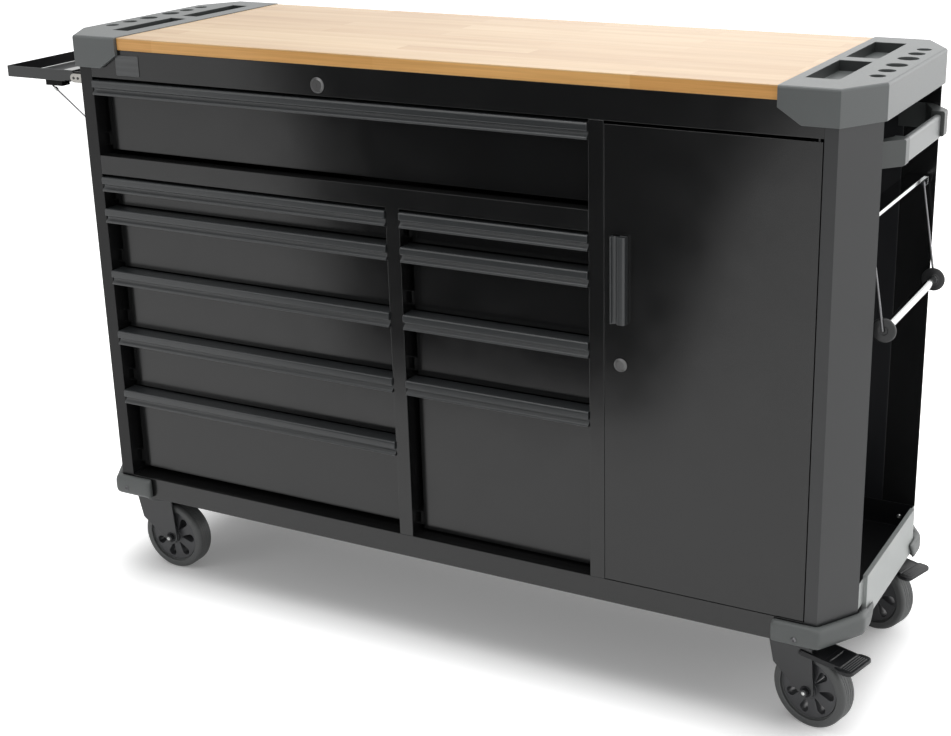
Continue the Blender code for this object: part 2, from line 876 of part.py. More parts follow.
def end_cap(way, name):
    """Moulded cap over one end of the top: rounded rim, skirt over the body, pockets and tool holes."""
    outer = [
        (cap_inner, -cap_half_depth),
        (cap_half_length - cap_corner_x, -cap_half_depth),
        (cap_half_length, -cap_half_depth + cap_corner_y),
        (cap_half_length, cap_half_depth - cap_corner_y),
        (cap_half_length - cap_corner_x, cap_half_depth),
        (cap_inner, cap_half_depth),
    ]
    skirt_bottom = total_height - cap_skirt
    cap = outline([outer], "Z", skirt_bottom, total_height)
    rim = total_height - gap

    def on_rim(first, second):
        on_top = first.z > rim and second.z > rim
        inner_edge = first.x < cap_inner + gap and second.x < cap_inner + gap
        return on_top and not inner_edge

    cap = round_edges(cap, on_rim, cap_round)
    hollow = [
        (cap_inner - overrun, front - gap),
        (corner_start + gap, front - gap),
        (body_half_length + gap, -side_half - gap),
        (body_half_length + gap, side_half + gap),
        (corner_start + gap, rear + gap),
        (cap_inner - overrun, rear + gap),
    ]
    under = outline([hollow], "Z", skirt_bottom - overrun, deck_top + gap)
    slant_top = total_height - cap_slant_start
    slant = [
        (cap_inner - overrun, slant_top),
        (cap_inner, slant_top),
        (cap_inner + cap_slant_run, skirt_bottom),
        (cap_inner + cap_slant_run, skirt_bottom - overrun),
        (cap_inner - overrun, skirt_bottom - overrun),
    ]
    corner_cut = outline([slant], "Y", -cap_half_depth - overrun, cap_half_depth + overrun)
    tools = []
    for near_share, far_share in pocket_shares:
        low = (
            cap_inner + pocket_wall[way],
            near_share * cap_half_depth,
            total_height - pocket_depth,
        )
        high = (cap_half_length - pocket_margin, far_share * cap_half_depth, total_height + overrun)
        tools.append(block(low, high))
    for place_share, radius in zip(hole_shares, hole_radii):
        place = (cap_half_length - hole_margin, place_share * cap_half_depth)
        tools.append(rod(place, "Z", deck_top - overrun, total_height + overrun, radius, round_steps))
    mesh = cut(cap, under, corner_cut, group(tools))
    if way < 0:
        mesh = transformed(mesh, Matrix.Scale(-1, 4, (1, 0, 0)))
    return node(name, mesh, cap_plastic)


def hook_section(width, depth, foot=0.0):
    """The hooked section of a pull: a web, a face with a groove along it, and a lip turned back.
    The first value runs across the face from the web, the second from the back to the face."""
    face_back = depth - pull_groove_depth - pull_wall
    section = [(0, 0)]
    section += arc((pull_round, depth - pull_round), pull_round, 180, 90, 4)
    section += [
        (pull_band, depth),
        (pull_band, depth - pull_groove_depth),
        (pull_band + pull_groove, depth - pull_groove_depth),
        (pull_band + pull_groove, depth),
    ]
    section += arc((width - pull_round, depth - pull_round), pull_round, 90, 0, 4)
    section += [
        (width, depth - pull_lip),
        (width - pull_wall, depth - pull_lip),
        (width - pull_wall, face_back),
        (pull_wall, face_back),
    ]
    if foot:
        section += [(pull_wall, pull_wall), (foot, pull_wall), (foot, 0)]
    else:
        section.append((pull_wall, 0))
    return section


def drawer(bank, index):
    """One drawer: a folded box with a slide bar on each side, and its pull strip over the front edge."""
    lines, bottoms = levels[bank]
    left_edge, right_edge = bank_edges[bank]
    name = "drawer_top" if bank == "top" else f"drawer_{bank}_{index + 1}"
    bottom = bottoms[index]
    pull_top = lines[index] - pull_drop
    box_top = pull_top - pull_wall - gap
    left = left_edge + drawer_side_gap
    right = right_edge - drawer_side_gap
    box = open_box((left, drawer_front, bottom), (right, drawer_front + drawer_length, box_top), 2, 1)
    bars = []
    for side, edge in ((-1, left), (1, right)):
        across = sorted((edge - side * sheet / 2, edge + side * slide_bar_thickness))
        low = bottom + slide_rise - slide_bar_height / 2
        bars.append(
            block(
                (across[0], drawer_front + sheet, low),
                (across[1], drawer_front + drawer_length - gap, low + slide_bar_height),
            )
        )
    middle = (left + right) / 2
    piece = node(name, joined(box, group(bars)), body_paint, (middle, drawer_front, bottom))
    depth = drawer_front + sheet - pull_front
    hook = hook_section(pull_height, depth)
    section = [(pull_front + depth - out, pull_top - down) for down, out in hook]
    strip = outline([section], "X", left_edge + pull_side_gap, right_edge - pull_side_gap)
    node(name + "_pull", strip, pull_paint, (middle, pull_front, pull_top))
    return piece


def door():
    """Folded door with its lock hole and a short pin at the top and the bottom."""
    low = (door_left, front, door_bottom)
    high = (door_right, front + door_depth, door_top)
    pan = open_box(low, high, 1, 1)
    pins = group(
        [
            rod(hinge_axis(), "Z", door_top - sheet / 2, fascia_bottom + hinge_pin_reach, hinge_pin_radius),
            rod(hinge_axis(), "Z", base_top - hinge_pin_reach, door_bottom + sheet / 2, hinge_pin_radius),
        ]
    )
    barrel = door_lock_radius * lock_barrel_share
    lock_hole = rod(door_lock_place, "Y", front - overrun, front + overrun, barrel + gap, round_steps)
    mesh = cut(joined(pan, pins), lock_hole)
    return node("door", mesh, body_paint, (*hinge_axis(), door_bottom))


def door_pull():
    section = [
        (door_pull_right - across, front - gap - out)
        for across, out in hook_section(door_pull_width, door_pull_depth, door_pull_foot)
    ]
    mesh = outline([section], "Z", door_pull_bottom, door_pull_top)
    return node("door_pull", mesh, pull_paint, (door_pull_right, front - gap, door_pull_bottom))


def lock(name, place, radius):
    """Key cylinder: a flat rosette on the panel, a barrel behind it, and a key slot."""
    barrel = radius * lock_barrel_share
    chamfer = lock_face / 2
    profile = [
        (0, lock_face),
        (radius - chamfer, lock_face),
        (radius, lock_face - chamfer),
        (radius, 0),
        (barrel, 0),
        (barrel, -lock_barrel),
        (0, -lock_barrel),
    ]
    cylinder = turned(profile)
    half_slot = radius * lock_slot_share / 2
    slot = block(
        (-lock_slot_width / 2, -half_slot, lock_face / 2),
        (lock_slot_width / 2, half_slot, lock_face + overrun),
    )
    mesh = cut(cylinder, slot)
    origin = (place[0], front - gap, place[1])
    turn = Matrix.Translation(origin) @ Matrix.Rotation(math.pi / 2, 4, "X")
    return node(name, transformed(mesh, turn), chrome, origin)


def push_bar():
    outer = body_half_length + bar_proud
    reach = niche_half_width - bar_end_space + bar_socket
    top = deck_top - bar_below_deck
    low = (outer - bar_thickness, -reach, top - bar_height)
    return node("push_handle_bar", block(low, (outer, reach, top), bar_round), cap_plastic)


def push_bracket(way, name):
    """Bracket at one end of the push handle: a foot on the column's niche wall, an arm slanting out
    and a socket for the bar."""
    wall = niche_half_width - gap
    bar_outer = body_half_length + bar_proud
    bar_end = niche_half_width - bar_end_space
    bar_top = deck_top - bar_below_deck
    outer = bar_outer + bracket_wall
    root_x = body_half_length - bracket_root_inset
    inner = bar_outer - bar_thickness - bracket_back_wall
    plan = [
        (root_x - bracket_foot_length, -wall),
        (root_x, -wall),
        (outer, -bar_end - bracket_cheek),
        (outer, -bar_end),
        (inner, -bar_end),
        (inner, -bar_end - bar_socket),
        (root_x - bracket_root_thickness, -wall + bracket_foot_thickness),
        (root_x - bracket_foot_length, -wall + bracket_foot_thickness),
    ]
    top = bar_top + bracket_over_bar
    arm = outline([plan], "Z", top - bracket_height, top)

    def outside(first, second):
        return min(first.x, second.x) > outer - gap and abs(first.z - second.z) < gap

    arm = round_edges(arm, outside, bracket_round)
    socket = block(
        (bar_outer - bar_thickness - gap, -bar_end - bar_socket - gap, bar_top - bar_height - gap),
        (bar_outer + gap, -bar_end + overrun, bar_top + gap),
    )
    mesh = cut(arm, socket)
    if way > 0:
        mesh = transformed(mesh, Matrix.Scale(-1, 4, (0, 1, 0)))
    return node(name, mesh, cap_plastic)


def roll_holder():
    """Strip across the niche with turned-down edges, and a lug near each end for the bail."""
    wall = niche_half_width - gap
    holder_inner = holder_outer - holder_width
    section = [
        (holder_inner, holder_level - holder_lip),
        (holder_inner + sheet, holder_level - holder_lip),
        (holder_inner + sheet, holder_level - sheet),
        (holder_outer - sheet, holder_level - sheet),
        (holder_outer - sheet, holder_level - holder_lip),
        (holder_outer, holder_level - holder_lip),
        (holder_outer, holder_level),
        (holder_inner, holder_level),
    ]
    strip = outline([section], "Y", -wall, wall)
    lugs = []
    for way in (-1, 1):
        inner = way * (bail_half_width + bail_wire + gap)
        span = sorted((inner, inner + way * bail_lug))
        tip = arc(bail_pivot, bail_lug_radius, 180, 360, 8)
        top = holder_level - sheet / 2
        ear = [*tip, (bail_pivot[0] + bail_lug_radius, top), (bail_pivot[0] - bail_lug_radius, top)]
        eye = arc(bail_pivot, bail_wire + gap, 0, 330, 11)
        lugs.append(outline([ear, eye], "Y", *span))
    return node("roll_holder", joined(strip, group(lugs)), chrome)


def roller_centre():
    return body_half_length + roller_proud, bail_pivot[1] - bail_drop


def bail():
    """One bent wire: its ends turn out into the lugs, and its lower run is the roller's axle."""
    pivot_x, pivot_z = bail_pivot
    low_x, low_z = roller_centre()
    tip = bail_half_width + bail_wire + bail_lug + 2 * gap
    points = [
        (pivot_x, -tip, pivot_z),
        (pivot_x, -bail_half_width, pivot_z),
        (low_x, -bail_half_width, low_z),
        (low_x, bail_half_width, low_z),
        (pivot_x, bail_half_width, pivot_z),
        (pivot_x, tip, pivot_z),
    ]
    mesh = wire(points, bail_wire, bail_wire + gap)
    return node("bail", mesh, chrome, (pivot_x, 0, pivot_z))


def roller():
    """Tube with a flanged disc at each end, turned in one profile round the bail's lower run."""
    half = bail_half_width - bail_wire - roller_end_gap
    disc = half - disc_thickness
    roller_bore = bail_wire + roller_bore_gap
    profile = [
        (roller_bore, half),
        (disc_radius, half),
        (disc_radius, disc),
        (roller_radius, disc),
        (roller_radius, -disc),
        (disc_radius, -disc),
        (disc_radius, -half),
        (roller_bore, -half),
    ]
    across, up = roller_centre()
    centre = (across, 0, up)
    turn = Matrix.Translation(centre) @ Matrix.Rotation(math.pi / 2, 4, "X")
    return node("roller", transformed(turned(profile), turn), black_plastic, centre)


def side_tray():
    """Open tray in the foot of the niche, with a tall lip across its outer edge."""
    wall = niche_half_width - gap
    floor = base_top + tray_rise
    top = floor + tray_depth
    pan = open_box((niche_back + gap, -wall, floor), (body_half_length - gap, wall, top), 2, 1)
    lip = block(
        (body_half_length - sheet - gap, -tray_lip_half, base_top - tray_lip_drop),
        (tray_lip_outer, tray_lip_half, top + tray_lip_rise),
    )
    return node("side_tray", joined(pan, lip), dark_sheet)


def bumper(across, along, name):
    """Corner bumper round the foot of the body, well rounded outside. Its side end is cut to a raking
    point and clears the lip of the tray."""
    slope = math.hypot(corner_x, corner_y)
    shift_x = bumper_proud * (slope - corner_x) / corner_y
    shift_y = bumper_proud * (slope - corner_y) / corner_x
    front_end = corner_start - bumper_reach
    face = front - bumper_proud
    side = body_half_length + bumper_proud
    side_end = side_half - bumper_side_length
    plan = [
        (front_end, face),
        (corner_start + shift_x, face),
        (side, -side_half - shift_y),
        (side, -side_end),
        (body_half_length + gap, -side_end),
        (body_half_length + gap, -side_half - gap),
        (corner_start + gap, front - gap),
        (front_end, front - gap),
    ]
    bottom = base_bottom + gap
    top = base_top - bumper_top_gap
    mesh = outline([plan], "Z", bottom, top)

    def outer_rim(first, second):
        level = abs(first.z - second.z) < gap
        in_front = max(first.y, second.y) < face + gap
        beside = min(first.x, second.x) > side - gap
        slanted = max(first.y, second.y) < -side_half - gap and max(first.x, second.x) > side - gap
        return level and (in_front or beside or slanted)

    mesh = round_edges(mesh, outer_rim, bumper_round, bumper_round_steps)
    run = overrun * bumper_rake / (top - bottom)
    rake = [
        (-side_end, top + gap),
        (-side_end + overrun, top + gap),
        (-side_end + overrun, bottom - overrun),
        (-side_end - bumper_rake - run, bottom - overrun),
    ]
    notch = block(
        (body_half_length - overrun, -tray_lip_half - bumper_step_gap, bottom - overrun),
        (tray_lip_outer + gap, -side_end + overrun, top + overrun),
    )
    mesh = cut(mesh, notch, outline([rake], "X", body_half_length - overrun, side + overrun))
    mesh = transformed(mesh, Matrix.Diagonal((across, -along, 1, 1)))
    return node(name, mesh, cap_plastic)


def fork_mesh():
    """Caster fork about its swivel axis: raceway, crown, two tapered legs, and the axle bolt."""
    inside = wheel_half_width + leg_clearance
    outside = inside + leg_thickness
    crown_top = crown_bottom + crown_thickness
    hub = (caster_trail, wheel_radius)
    middle = inside + leg_thickness / 2
    leg = [
        (-leg_top_back, crown_top),
        (-leg_waist_back, wheel_radius + leg_waist_rise),
        *arc(hub, leg_foot_radius, 200, 360, 8),
        (leg_top_front, crown_top),
    ]
    legs = [outline([leg], "Y", *sorted((way * inside, way * outside))) for way in (-1, 1)]
    crown = block(
        (-leg_top_back + gap, -middle, crown_bottom), (leg_top_front - gap, middle, crown_top - gap)
    )
    plate_bottom = base_bottom - plate_thickness
    raceway = rod(
        (0, 0), "Z", crown_top - leg_thickness, plate_bottom - gap, raceway_radius, round_steps
    )
    head = outside + bolt_proud
    profile = [
        (0, head),
        (bolt_radius - sheet, head),
        (bolt_radius, head - sheet),
        (bolt_radius, middle),
        (axle_radius, middle),
        (axle_radius, -middle),
        (bolt_radius, -middle),
        (bolt_radius, -head + sheet),
        (bolt_radius - sheet, -head),
        (0, -head),
    ]
    bolt = turned(profile, small_steps)
    turn = Matrix.Translation((hub[0], 0, hub[1])) @ Matrix.Rotation(math.pi / 2, 4, "X")
    return joined(crown, group(legs), raceway, transformed(bolt, turn))


def wheel_mesh():
    """Wheel about its axle along Y: tyre with rounded shoulders, thin web with windows, and a hub."""
    half_hub = wheel_half_width + leg_clearance - gap
    shoulder = (wheel_radius - tyre_round, wheel_half_width - tyre_round)
    upper = [
        (axle_radius + gap, half_hub),
        (hub_radius, half_hub),
        (hub_radius, web_half),
        (rim_radius, web_half),
        (rim_radius, wheel_half_width - rim_edge),
        (rim_radius + rim_edge, wheel_half_width),
    ]
    upper += arc(shoulder, tyre_round, 90, 0, 3)
    profile = upper + [(radius, -height) for radius, height in reversed(upper)]
    wheel = turned(profile, wheel_steps)
    windows = []
    for index in range(window_count):
        end = arc((window_end, 0), window_radius, -100, 100, 4)
        window = outline([[(window_tip, 0), *end]], "Z", -wheel_half_width, wheel_half_width)
        angle = math.tau * (index + window_turn_share) / window_count
        windows.append(transformed(window, Matrix.Rotation(angle, 4, "Z")))
    wheel = cut(wheel, group(windows))
    return transformed(wheel, Matrix.Rotation(math.pi / 2, 4, "X"))


def pedal_mesh():
    """Brake pedal about its own pivot: two arms outside the fork, a shoe over the tyre, a foot plate."""
    inside = wheel_half_width + leg_clearance + leg_thickness + gap
    outside = inside + pedal_arm
    middle = inside + pedal_arm / 2
    reach = pedal_plate_near - pedal_pivot_reach
    drop = pedal_plate_drop
    half = pedal_arm_half
    foot = reach + pedal_plate_thickness
    side = [
        *arc((0, 0), half, 90, 270, 6),
        (reach, -drop - half),
        (foot, -drop - half),
        (foot, -drop + half),
        (reach, -drop + half),
    ]
    arms = [outline([side], "Y", *sorted((way * inside, way * outside))) for way in (-1, 1)]
    pin_start = inside - gap - leg_thickness / 2
    pins = [
        rod((0, 0), "Y", *sorted((way * pin_start, way * outside)), pedal_pin_radius) for way in (-1, 1)
    ]
    near = pedal_cover_near - pedal_pivot_reach
    near_top = half - drop * near / reach - gap
    far_top = half - drop - gap
    cover_line = [
        (near, near_top),
        (near, near_top - pedal_cover_thickness),
        (foot - sheet, far_top - pedal_cover_thickness),
        (foot - sheet, far_top),
    ]
    cover = outline([cover_line], "Y", -middle, middle)
    plate = block(
        (reach, -pedal_plate_half, -drop - pedal_plate_thickness / 2),
        (pedal_plate_far - pedal_pivot_reach, pedal_plate_half, -drop + pedal_plate_thickness / 2),
        sheet,
    )
    shoe = block(
        (pedal_shoe_near - pedal_pivot_reach, -middle, -pedal_shoe_drop),
        (pedal_shoe_far - pedal_pivot_reach, middle, half / 2),
    )
    return joined(shoe, group(arms), cover, group(pins), plate)


def casters():
    """Four swivel casters, the two on the right with brake pedals, each turned as it stands at rest."""
    fork_shape = fork_mesh()
    pedal_pivot = (pedal_pivot_reach, crown_bottom - pedal_pivot_drop)
    eyes = [
        rod(
            pedal_pivot,
            "Y",
            *sorted((way * (wheel_half_width + overrun), way * wheel_half_width)),
            pedal_pin_radius + gap,
        )
        for way in (-1, 1)
    ]
    braked_shape = cut(fork_shape.copy(), group(eyes))
    wheel_shape = wheel_mesh()
    pedal_shape = pedal_mesh()
    for place, yaw in yaws.items():
        along = -1 if place.startswith("front") else 1
        across = 1 if place.endswith("right") else -1
        swivel = Matrix.Translation((across * caster_x, along * caster_y, 0)) @ Matrix.Rotation(
            -math.radians(yaw), 4, "Z"
        )
        braked = across > 0
        shape = (braked_shape if braked else fork_shape).copy()
        fork_place = swivel.to_translation()
        node(f"caster_fork_{place}", transformed(shape, swivel), plated_steel, fork_place)
        hub = swivel @ Matrix.Translation((caster_trail, 0, wheel_radius))
        wheel = transformed(wheel_shape.copy(), hub)
        node(f"wheel_{place}", wheel, wheel_black, hub.to_translation())
        if braked:
            pivot = swivel @ Matrix.Translation((pedal_pivot[0], 0, pedal_pivot[1]))
            pedal = transformed(pedal_shape.copy(), pivot)
            node(f"brake_pedal_{place}", pedal, black_plastic, pivot.to_translation())


def side_shelf():
    """Shallow tray that folds down about two pins, with an ear at each pin and two pads for the stay."""
    low = (-shelf_inner - shelf_length, -shelf_half, shelf_bottom)
    pan = open_box(low, (-shelf_inner, shelf_half, shelf_bottom + shelf_height), 2, 1)
    axis = (-shelf_axis[0], shelf_axis[1])
    ears = []
    pins = []
    pads = []
    for way in (-1, 1):
        span = sorted((way * shelf_half, way * (shelf_half - sheet)))
        tip = arc(axis, shelf_ear_radius, -90, 90, 8)
        root_x = -shelf_inner - 2 * sheet
        ear = [*tip, (root_x, axis[1] + shelf_ear_radius), (root_x, axis[1] - shelf_ear_radius)]
        ears.append(outline([ear], "Y", *span))
        inner = shelf_half - sheet / 2
        depth = hinge_plate_thickness + sheet + 2 * gap
        pins.append(rod(axis, "Y", *sorted((way * inner, way * (inner - depth))), shelf_pin_radius))
        pad_y = sorted((way * (shelf_half - sheet / 2), way * (shelf_half - pad_width)))
        pads.append(
            block((-pad_far, pad_y[0], pad_bottom), (-pad_near, pad_y[1], shelf_bottom + sheet / 2))
        )
    mesh = joined(pan, group(ears), group(pins), group(pads))
    return node("side_shelf", mesh, body_paint, (axis[0], 0, axis[1]))


def shelf_stay():
    """Wire bail that props the shelf: its ends turn inwards into the lugs on the side."""
    pivot_x, pivot_z = -stay_pivot[0], stay_pivot[1]
    top_z = pad_bottom - gap - stay_wire
    top_x = -pad_far + stay_top_inset
    tip = stay_half - stay_wire - stay_lug - 2 * gap
    points = [
        (pivot_x, -tip, pivot_z),
        (pivot_x, -stay_half, pivot_z),
        (top_x, -stay_half, top_z),
        (top_x, stay_half, top_z),
        (pivot_x, stay_half, pivot_z),
        (pivot_x, tip, pivot_z),
    ]
    mesh = wire(points, stay_wire, stay_wire + gap)
    return node("shelf_stay", mesh, chrome, (pivot_x, 0, pivot_z))


def stand_on_origin():
    """Moves the bench sideways, so that the middle of its whole width is over the origin."""
    bpy.context.view_layer.update()
    corners = []
    for piece in bench.objects:
        if piece.type == "MESH":
            corners += [(piece.matrix_world @ vertex.co).x for vertex in piece.data.vertices]
    root.location.x = -(min(corners) + max(corners)) / 2
    print("sideways shift", root.location.x, "from", min(corners), "to", max(corners))


left_side()
right_column(-1, "right_front_column")
right_column(1, "right_rear_column")
niche_panel()
back_panel()
base_pan()
top_frame()
drawer_divider()
door_divider()
cabinet_shelf()
wood_top()
end_cap(-1, "left_cap")
end_cap(1, "right_cap")
for bank_name, (_, bank_bottoms) in levels.items():
    for drawer_index in range(len(bank_bottoms)):
        drawer(bank_name, drawer_index)
door()
door_pull()
lock("drawer_lock", drawer_lock_place, drawer_lock_radius)
lock("door_lock", door_lock_place, door_lock_radius)
push_bar()
push_bracket(-1, "push_bracket_front")
push_bracket(1, "push_bracket_rear")
roll_holder()
bail()
roller()
side_tray()
for across_way, across_name in ((-1, "left"), (1, "right")):
    for along_way, along_name in ((-1, "front"), (1, "rear")):
        bumper(across_way, along_way, f"bumper_{along_name}_{across_name}")
casters()
side_shelf()
shelf_stay()
stand_on_origin()
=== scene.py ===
import json
import math

import bmesh
import bpy
from mathutils import Matrix, Vector

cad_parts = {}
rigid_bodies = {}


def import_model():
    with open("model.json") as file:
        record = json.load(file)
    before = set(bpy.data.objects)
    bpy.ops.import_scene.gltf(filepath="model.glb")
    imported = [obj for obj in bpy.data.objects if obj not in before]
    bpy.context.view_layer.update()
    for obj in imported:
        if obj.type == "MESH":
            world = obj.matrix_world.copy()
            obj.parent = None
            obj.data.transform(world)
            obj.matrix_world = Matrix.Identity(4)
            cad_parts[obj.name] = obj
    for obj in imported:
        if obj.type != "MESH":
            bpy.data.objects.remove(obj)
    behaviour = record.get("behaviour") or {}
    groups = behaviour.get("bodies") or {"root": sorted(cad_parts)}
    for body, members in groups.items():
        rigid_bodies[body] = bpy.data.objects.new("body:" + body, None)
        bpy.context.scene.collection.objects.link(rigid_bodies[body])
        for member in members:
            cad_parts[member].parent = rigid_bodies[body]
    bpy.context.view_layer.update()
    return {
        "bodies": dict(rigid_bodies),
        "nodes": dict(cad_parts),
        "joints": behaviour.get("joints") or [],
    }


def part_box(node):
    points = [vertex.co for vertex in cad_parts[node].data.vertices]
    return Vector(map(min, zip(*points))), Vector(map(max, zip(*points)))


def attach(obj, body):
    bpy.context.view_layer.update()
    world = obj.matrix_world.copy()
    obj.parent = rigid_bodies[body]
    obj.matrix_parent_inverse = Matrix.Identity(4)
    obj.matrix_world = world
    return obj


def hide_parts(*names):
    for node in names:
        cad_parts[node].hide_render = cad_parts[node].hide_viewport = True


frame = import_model()

# The middle of the cabinet, which is not the middle of the whole bench, because the folding shelf
# reaches further out on the left than anything does on the right. The wooden top marks it.
wood_low, wood_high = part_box("wood_top")
middle_x = (wood_low.x + wood_high.x) / 2

# Camera: a long lens from the right of the front and a little above the top, as in the photograph.
# Its place was solved from the bench's straight edges, and the shift is what the framing needs.
camera_height = 1.394
camera_right = 1.304
camera_forward = -2.330
camera_turn = 27.80
camera_dip = 19.06
camera_roll = -1.006
photo_width = 951
photo_height = 736
focal_pixels = 1638.45
view_centre = (532.3, 341.7)
camera_data = bpy.data.cameras.new("camera")
camera_data.sensor_width = 36
camera_data.lens = focal_pixels * camera_data.sensor_width / photo_width
camera_data.shift_x = (photo_width / 2 - view_centre[0]) / photo_width
camera_data.shift_y = (view_centre[1] - photo_height / 2) / photo_width
camera = bpy.data.objects.new("camera", camera_data)
bpy.context.scene.collection.objects.link(camera)
camera.matrix_world = (
    Matrix.Translation((middle_x + camera_right, camera_forward, camera_height))
    @ Matrix.Rotation(math.radians(camera_turn), 4, "Z")
    @ Matrix.Rotation(math.radians(90 - camera_dip), 4, "X")
    @ Matrix.Rotation(math.radians(camera_roll), 4, "Z")
)
bpy.context.scene.camera = camera
bpy.context.scene.view_settings.view_transform = "Standard"


# Studio floor: a plain pale floor. Past a rounded box under the bench it glows white to the eye and
# in the gloss of paint and metal, so the bench stands on white. The glow eases in across the box's
# edge: a painted shadow round the bench, laid over the lamps' own shadow beneath it.
def blank_material(name):
    """A fresh material, with its nodes and its surface."""
    material = bpy.data.materials.new(name)
    material.use_nodes = True
    return material, material.node_tree, material.node_tree.nodes["Principled BSDF"]


def piece_axes(tree):
    """The X, Y and Z of a spot in the piece's own frame."""
    place = tree.nodes.new("ShaderNodeTexCoord")
    axes = tree.nodes.new("ShaderNodeSeparateXYZ")
    tree.links.new(place.outputs["Object"], axes.inputs[0])
    return axes.outputs


def sum_node(tree, operation, *values):
    """A Math node over the values, each a socket or a plain number."""
    step = tree.nodes.new("ShaderNodeMath")
    step.operation = operation
    for slot_index, value in enumerate(values):
        if isinstance(value, (int, float)):
            step.inputs[slot_index].default_value = value
        else:
            tree.links.new(value, step.inputs[slot_index])
    return step.outputs[0]


def eased(tree, value, start, end, low, high):
    """The value carried smoothly from low to high as it goes from start to end."""
    ramp = tree.nodes.new("ShaderNodeMapRange")
    ramp.interpolation_type = "SMOOTHSTEP"
    ramp.inputs["From Min"].default_value = start
    ramp.inputs["From Max"].default_value = end
    ramp.inputs["To Min"].default_value = low
    ramp.inputs["To Max"].default_value = high
    tree.links.new(value, ramp.inputs["Value"])
    return ramp.outputs[0]


floor_half = 14.0
floor_mesh = bpy.data.meshes.new("floor")
floor_shape = bmesh.new()
bmesh.ops.create_grid(floor_shape, x_segments=1, y_segments=1, size=floor_half)
floor_shape.to_mesh(floor_mesh)
floor_shape.free()
floor = bpy.data.objects.new("floor", floor_mesh)
bpy.context.scene.collection.objects.link(floor)
floor_paint, floor_tree, floor_surface = blank_material("floor_paint")
floor_surface.inputs["Base Color"].default_value = (0.90, 0.90, 0.90, 1)
floor_surface.inputs["Roughness"].default_value = 0.9
floor_surface.inputs["Specular IOR Level"].default_value = 0.1
floor_axes = piece_axes(floor_tree)
from_middle = sum_node(floor_tree, "SUBTRACT", floor_axes["X"], middle_x)
# The box and its fade hold the glow back under the bench: a painted shadow there.
shadow_half = (0.60, 0.165)
shadow_fade = 0.22
shadow_glow = 0.11
gloss_glow = 0.66
past_squares = []
for reach, half in zip((from_middle, floor_axes["Y"]), shadow_half):
    past = sum_node(floor_tree, "SUBTRACT", sum_node(floor_tree, "ABSOLUTE", reach), half)
    past = sum_node(floor_tree, "MAXIMUM", past, 0.0)
    past_squares.append(sum_node(floor_tree, "MULTIPLY", past, past))
past_both = sum_node(floor_tree, "SQRT", sum_node(floor_tree, "ADD", *past_squares))
glow_share = eased(floor_tree, past_both, 0.0, shadow_fade, shadow_glow, 1.0)
floor_sight = floor_tree.nodes.new("ShaderNodeLightPath")
floor_in_gloss = sum_node(
    floor_tree, "MULTIPLY", floor_sight.outputs["Is Glossy Ray"], gloss_glow
)
floor_seen = sum_node(
    floor_tree,
    "MAXIMUM",
    sum_node(floor_tree, "MAXIMUM", floor_sight.outputs["Is Camera Ray"], floor_in_gloss),
    floor_sight.outputs["Is Transmission Ray"],
)
floor_glow = floor_tree.nodes.new("ShaderNodeEmission")
floor_tree.links.new(
    sum_node(floor_tree, "MULTIPLY", glow_share, floor_seen), floor_glow.inputs["Strength"]
)
floor_sum = floor_tree.nodes.new("ShaderNodeAddShader")
floor_tree.links.new(floor_surface.outputs[0], floor_sum.inputs[0])
floor_tree.links.new(floor_glow.outputs[0], floor_sum.inputs[1])
floor_tree.links.new(floor_sum.outputs[0], floor_tree.nodes["Material Output"].inputs["Surface"])
floor_mesh.materials.append(floor_paint)

# Studio walls: plain white to the eye, and white in the gloss but dimmer away to the left, where
# the room falls off. What lights the bench is a plain grey sky of less strength.
world = bpy.data.worlds.new("studio")
world.use_nodes = True
bpy.context.scene.world = world
world_tree = world.node_tree
sky = world_tree.nodes["Background"]
sky.inputs["Color"].default_value = (1, 1, 1, 1)
sky.inputs["Strength"].default_value = 0.42
sheen_wall = world_tree.nodes.new("ShaderNodeBackground")
sheen_wall.inputs["Color"].default_value = (1, 1, 1, 1)
wall_place = world_tree.nodes.new("ShaderNodeTexCoord")
wall_axes = world_tree.nodes.new("ShaderNodeSeparateXYZ")
world_tree.links.new(wall_place.outputs["Generated"], wall_axes.inputs[0])
wall_dim, wall_bright = 0.60, 1.40
wall_strength = eased(world_tree, wall_axes.outputs["X"], -0.80, -0.35, wall_dim, wall_bright)
world_tree.links.new(wall_strength, sheen_wall.inputs["Strength"])
backdrop = world_tree.nodes.new("ShaderNodeBackground")
backdrop.inputs["Color"].default_value = (1, 1, 1, 1)
backdrop.inputs["Strength"].default_value = 1.0
sight = world_tree.nodes.new("ShaderNodeLightPath")
in_gloss = world_tree.nodes.new("ShaderNodeMixShader")
world_tree.links.new(sight.outputs["Is Glossy Ray"], in_gloss.inputs[0])
world_tree.links.new(sky.outputs[0], in_gloss.inputs[1])
world_tree.links.new(sheen_wall.outputs[0], in_gloss.inputs[2])
seen_plain = sum_node(
    world_tree, "MAXIMUM", sight.outputs["Is Camera Ray"], sight.outputs["Is Transmission Ray"]
)
seen = world_tree.nodes.new("ShaderNodeMixShader")
world_tree.links.new(seen_plain, seen.inputs[0])
world_tree.links.new(in_gloss.outputs[0], seen.inputs[1])
world_tree.links.new(backdrop.outputs[0], seen.inputs[2])
world_tree.links.new(seen.outputs[0], world_tree.nodes["World Output"].inputs["Surface"])


# Studio lamps: soft white panels, a large one behind the right end, a weak one beside it, one
# overhead and one in front on the left. They model the slanted faces and the tops of the caps.
def soft_panel(name, place, aim, width, height, power):
    """A rectangular lamp at the place that looks at the aim and isn't seen itself."""
    light = bpy.data.lights.new(name, "AREA")
    light.shape = "RECTANGLE"
    light.size = width
    light.size_y = height
    light.energy = power
    panel = bpy.data.objects.new(name, light)
    bpy.context.scene.collection.objects.link(panel)
    panel.visible_camera = False
    panel.location = place
    panel.rotation_euler = (Vector(aim) - Vector(place)).to_track_quat("-Z", "Y").to_euler()


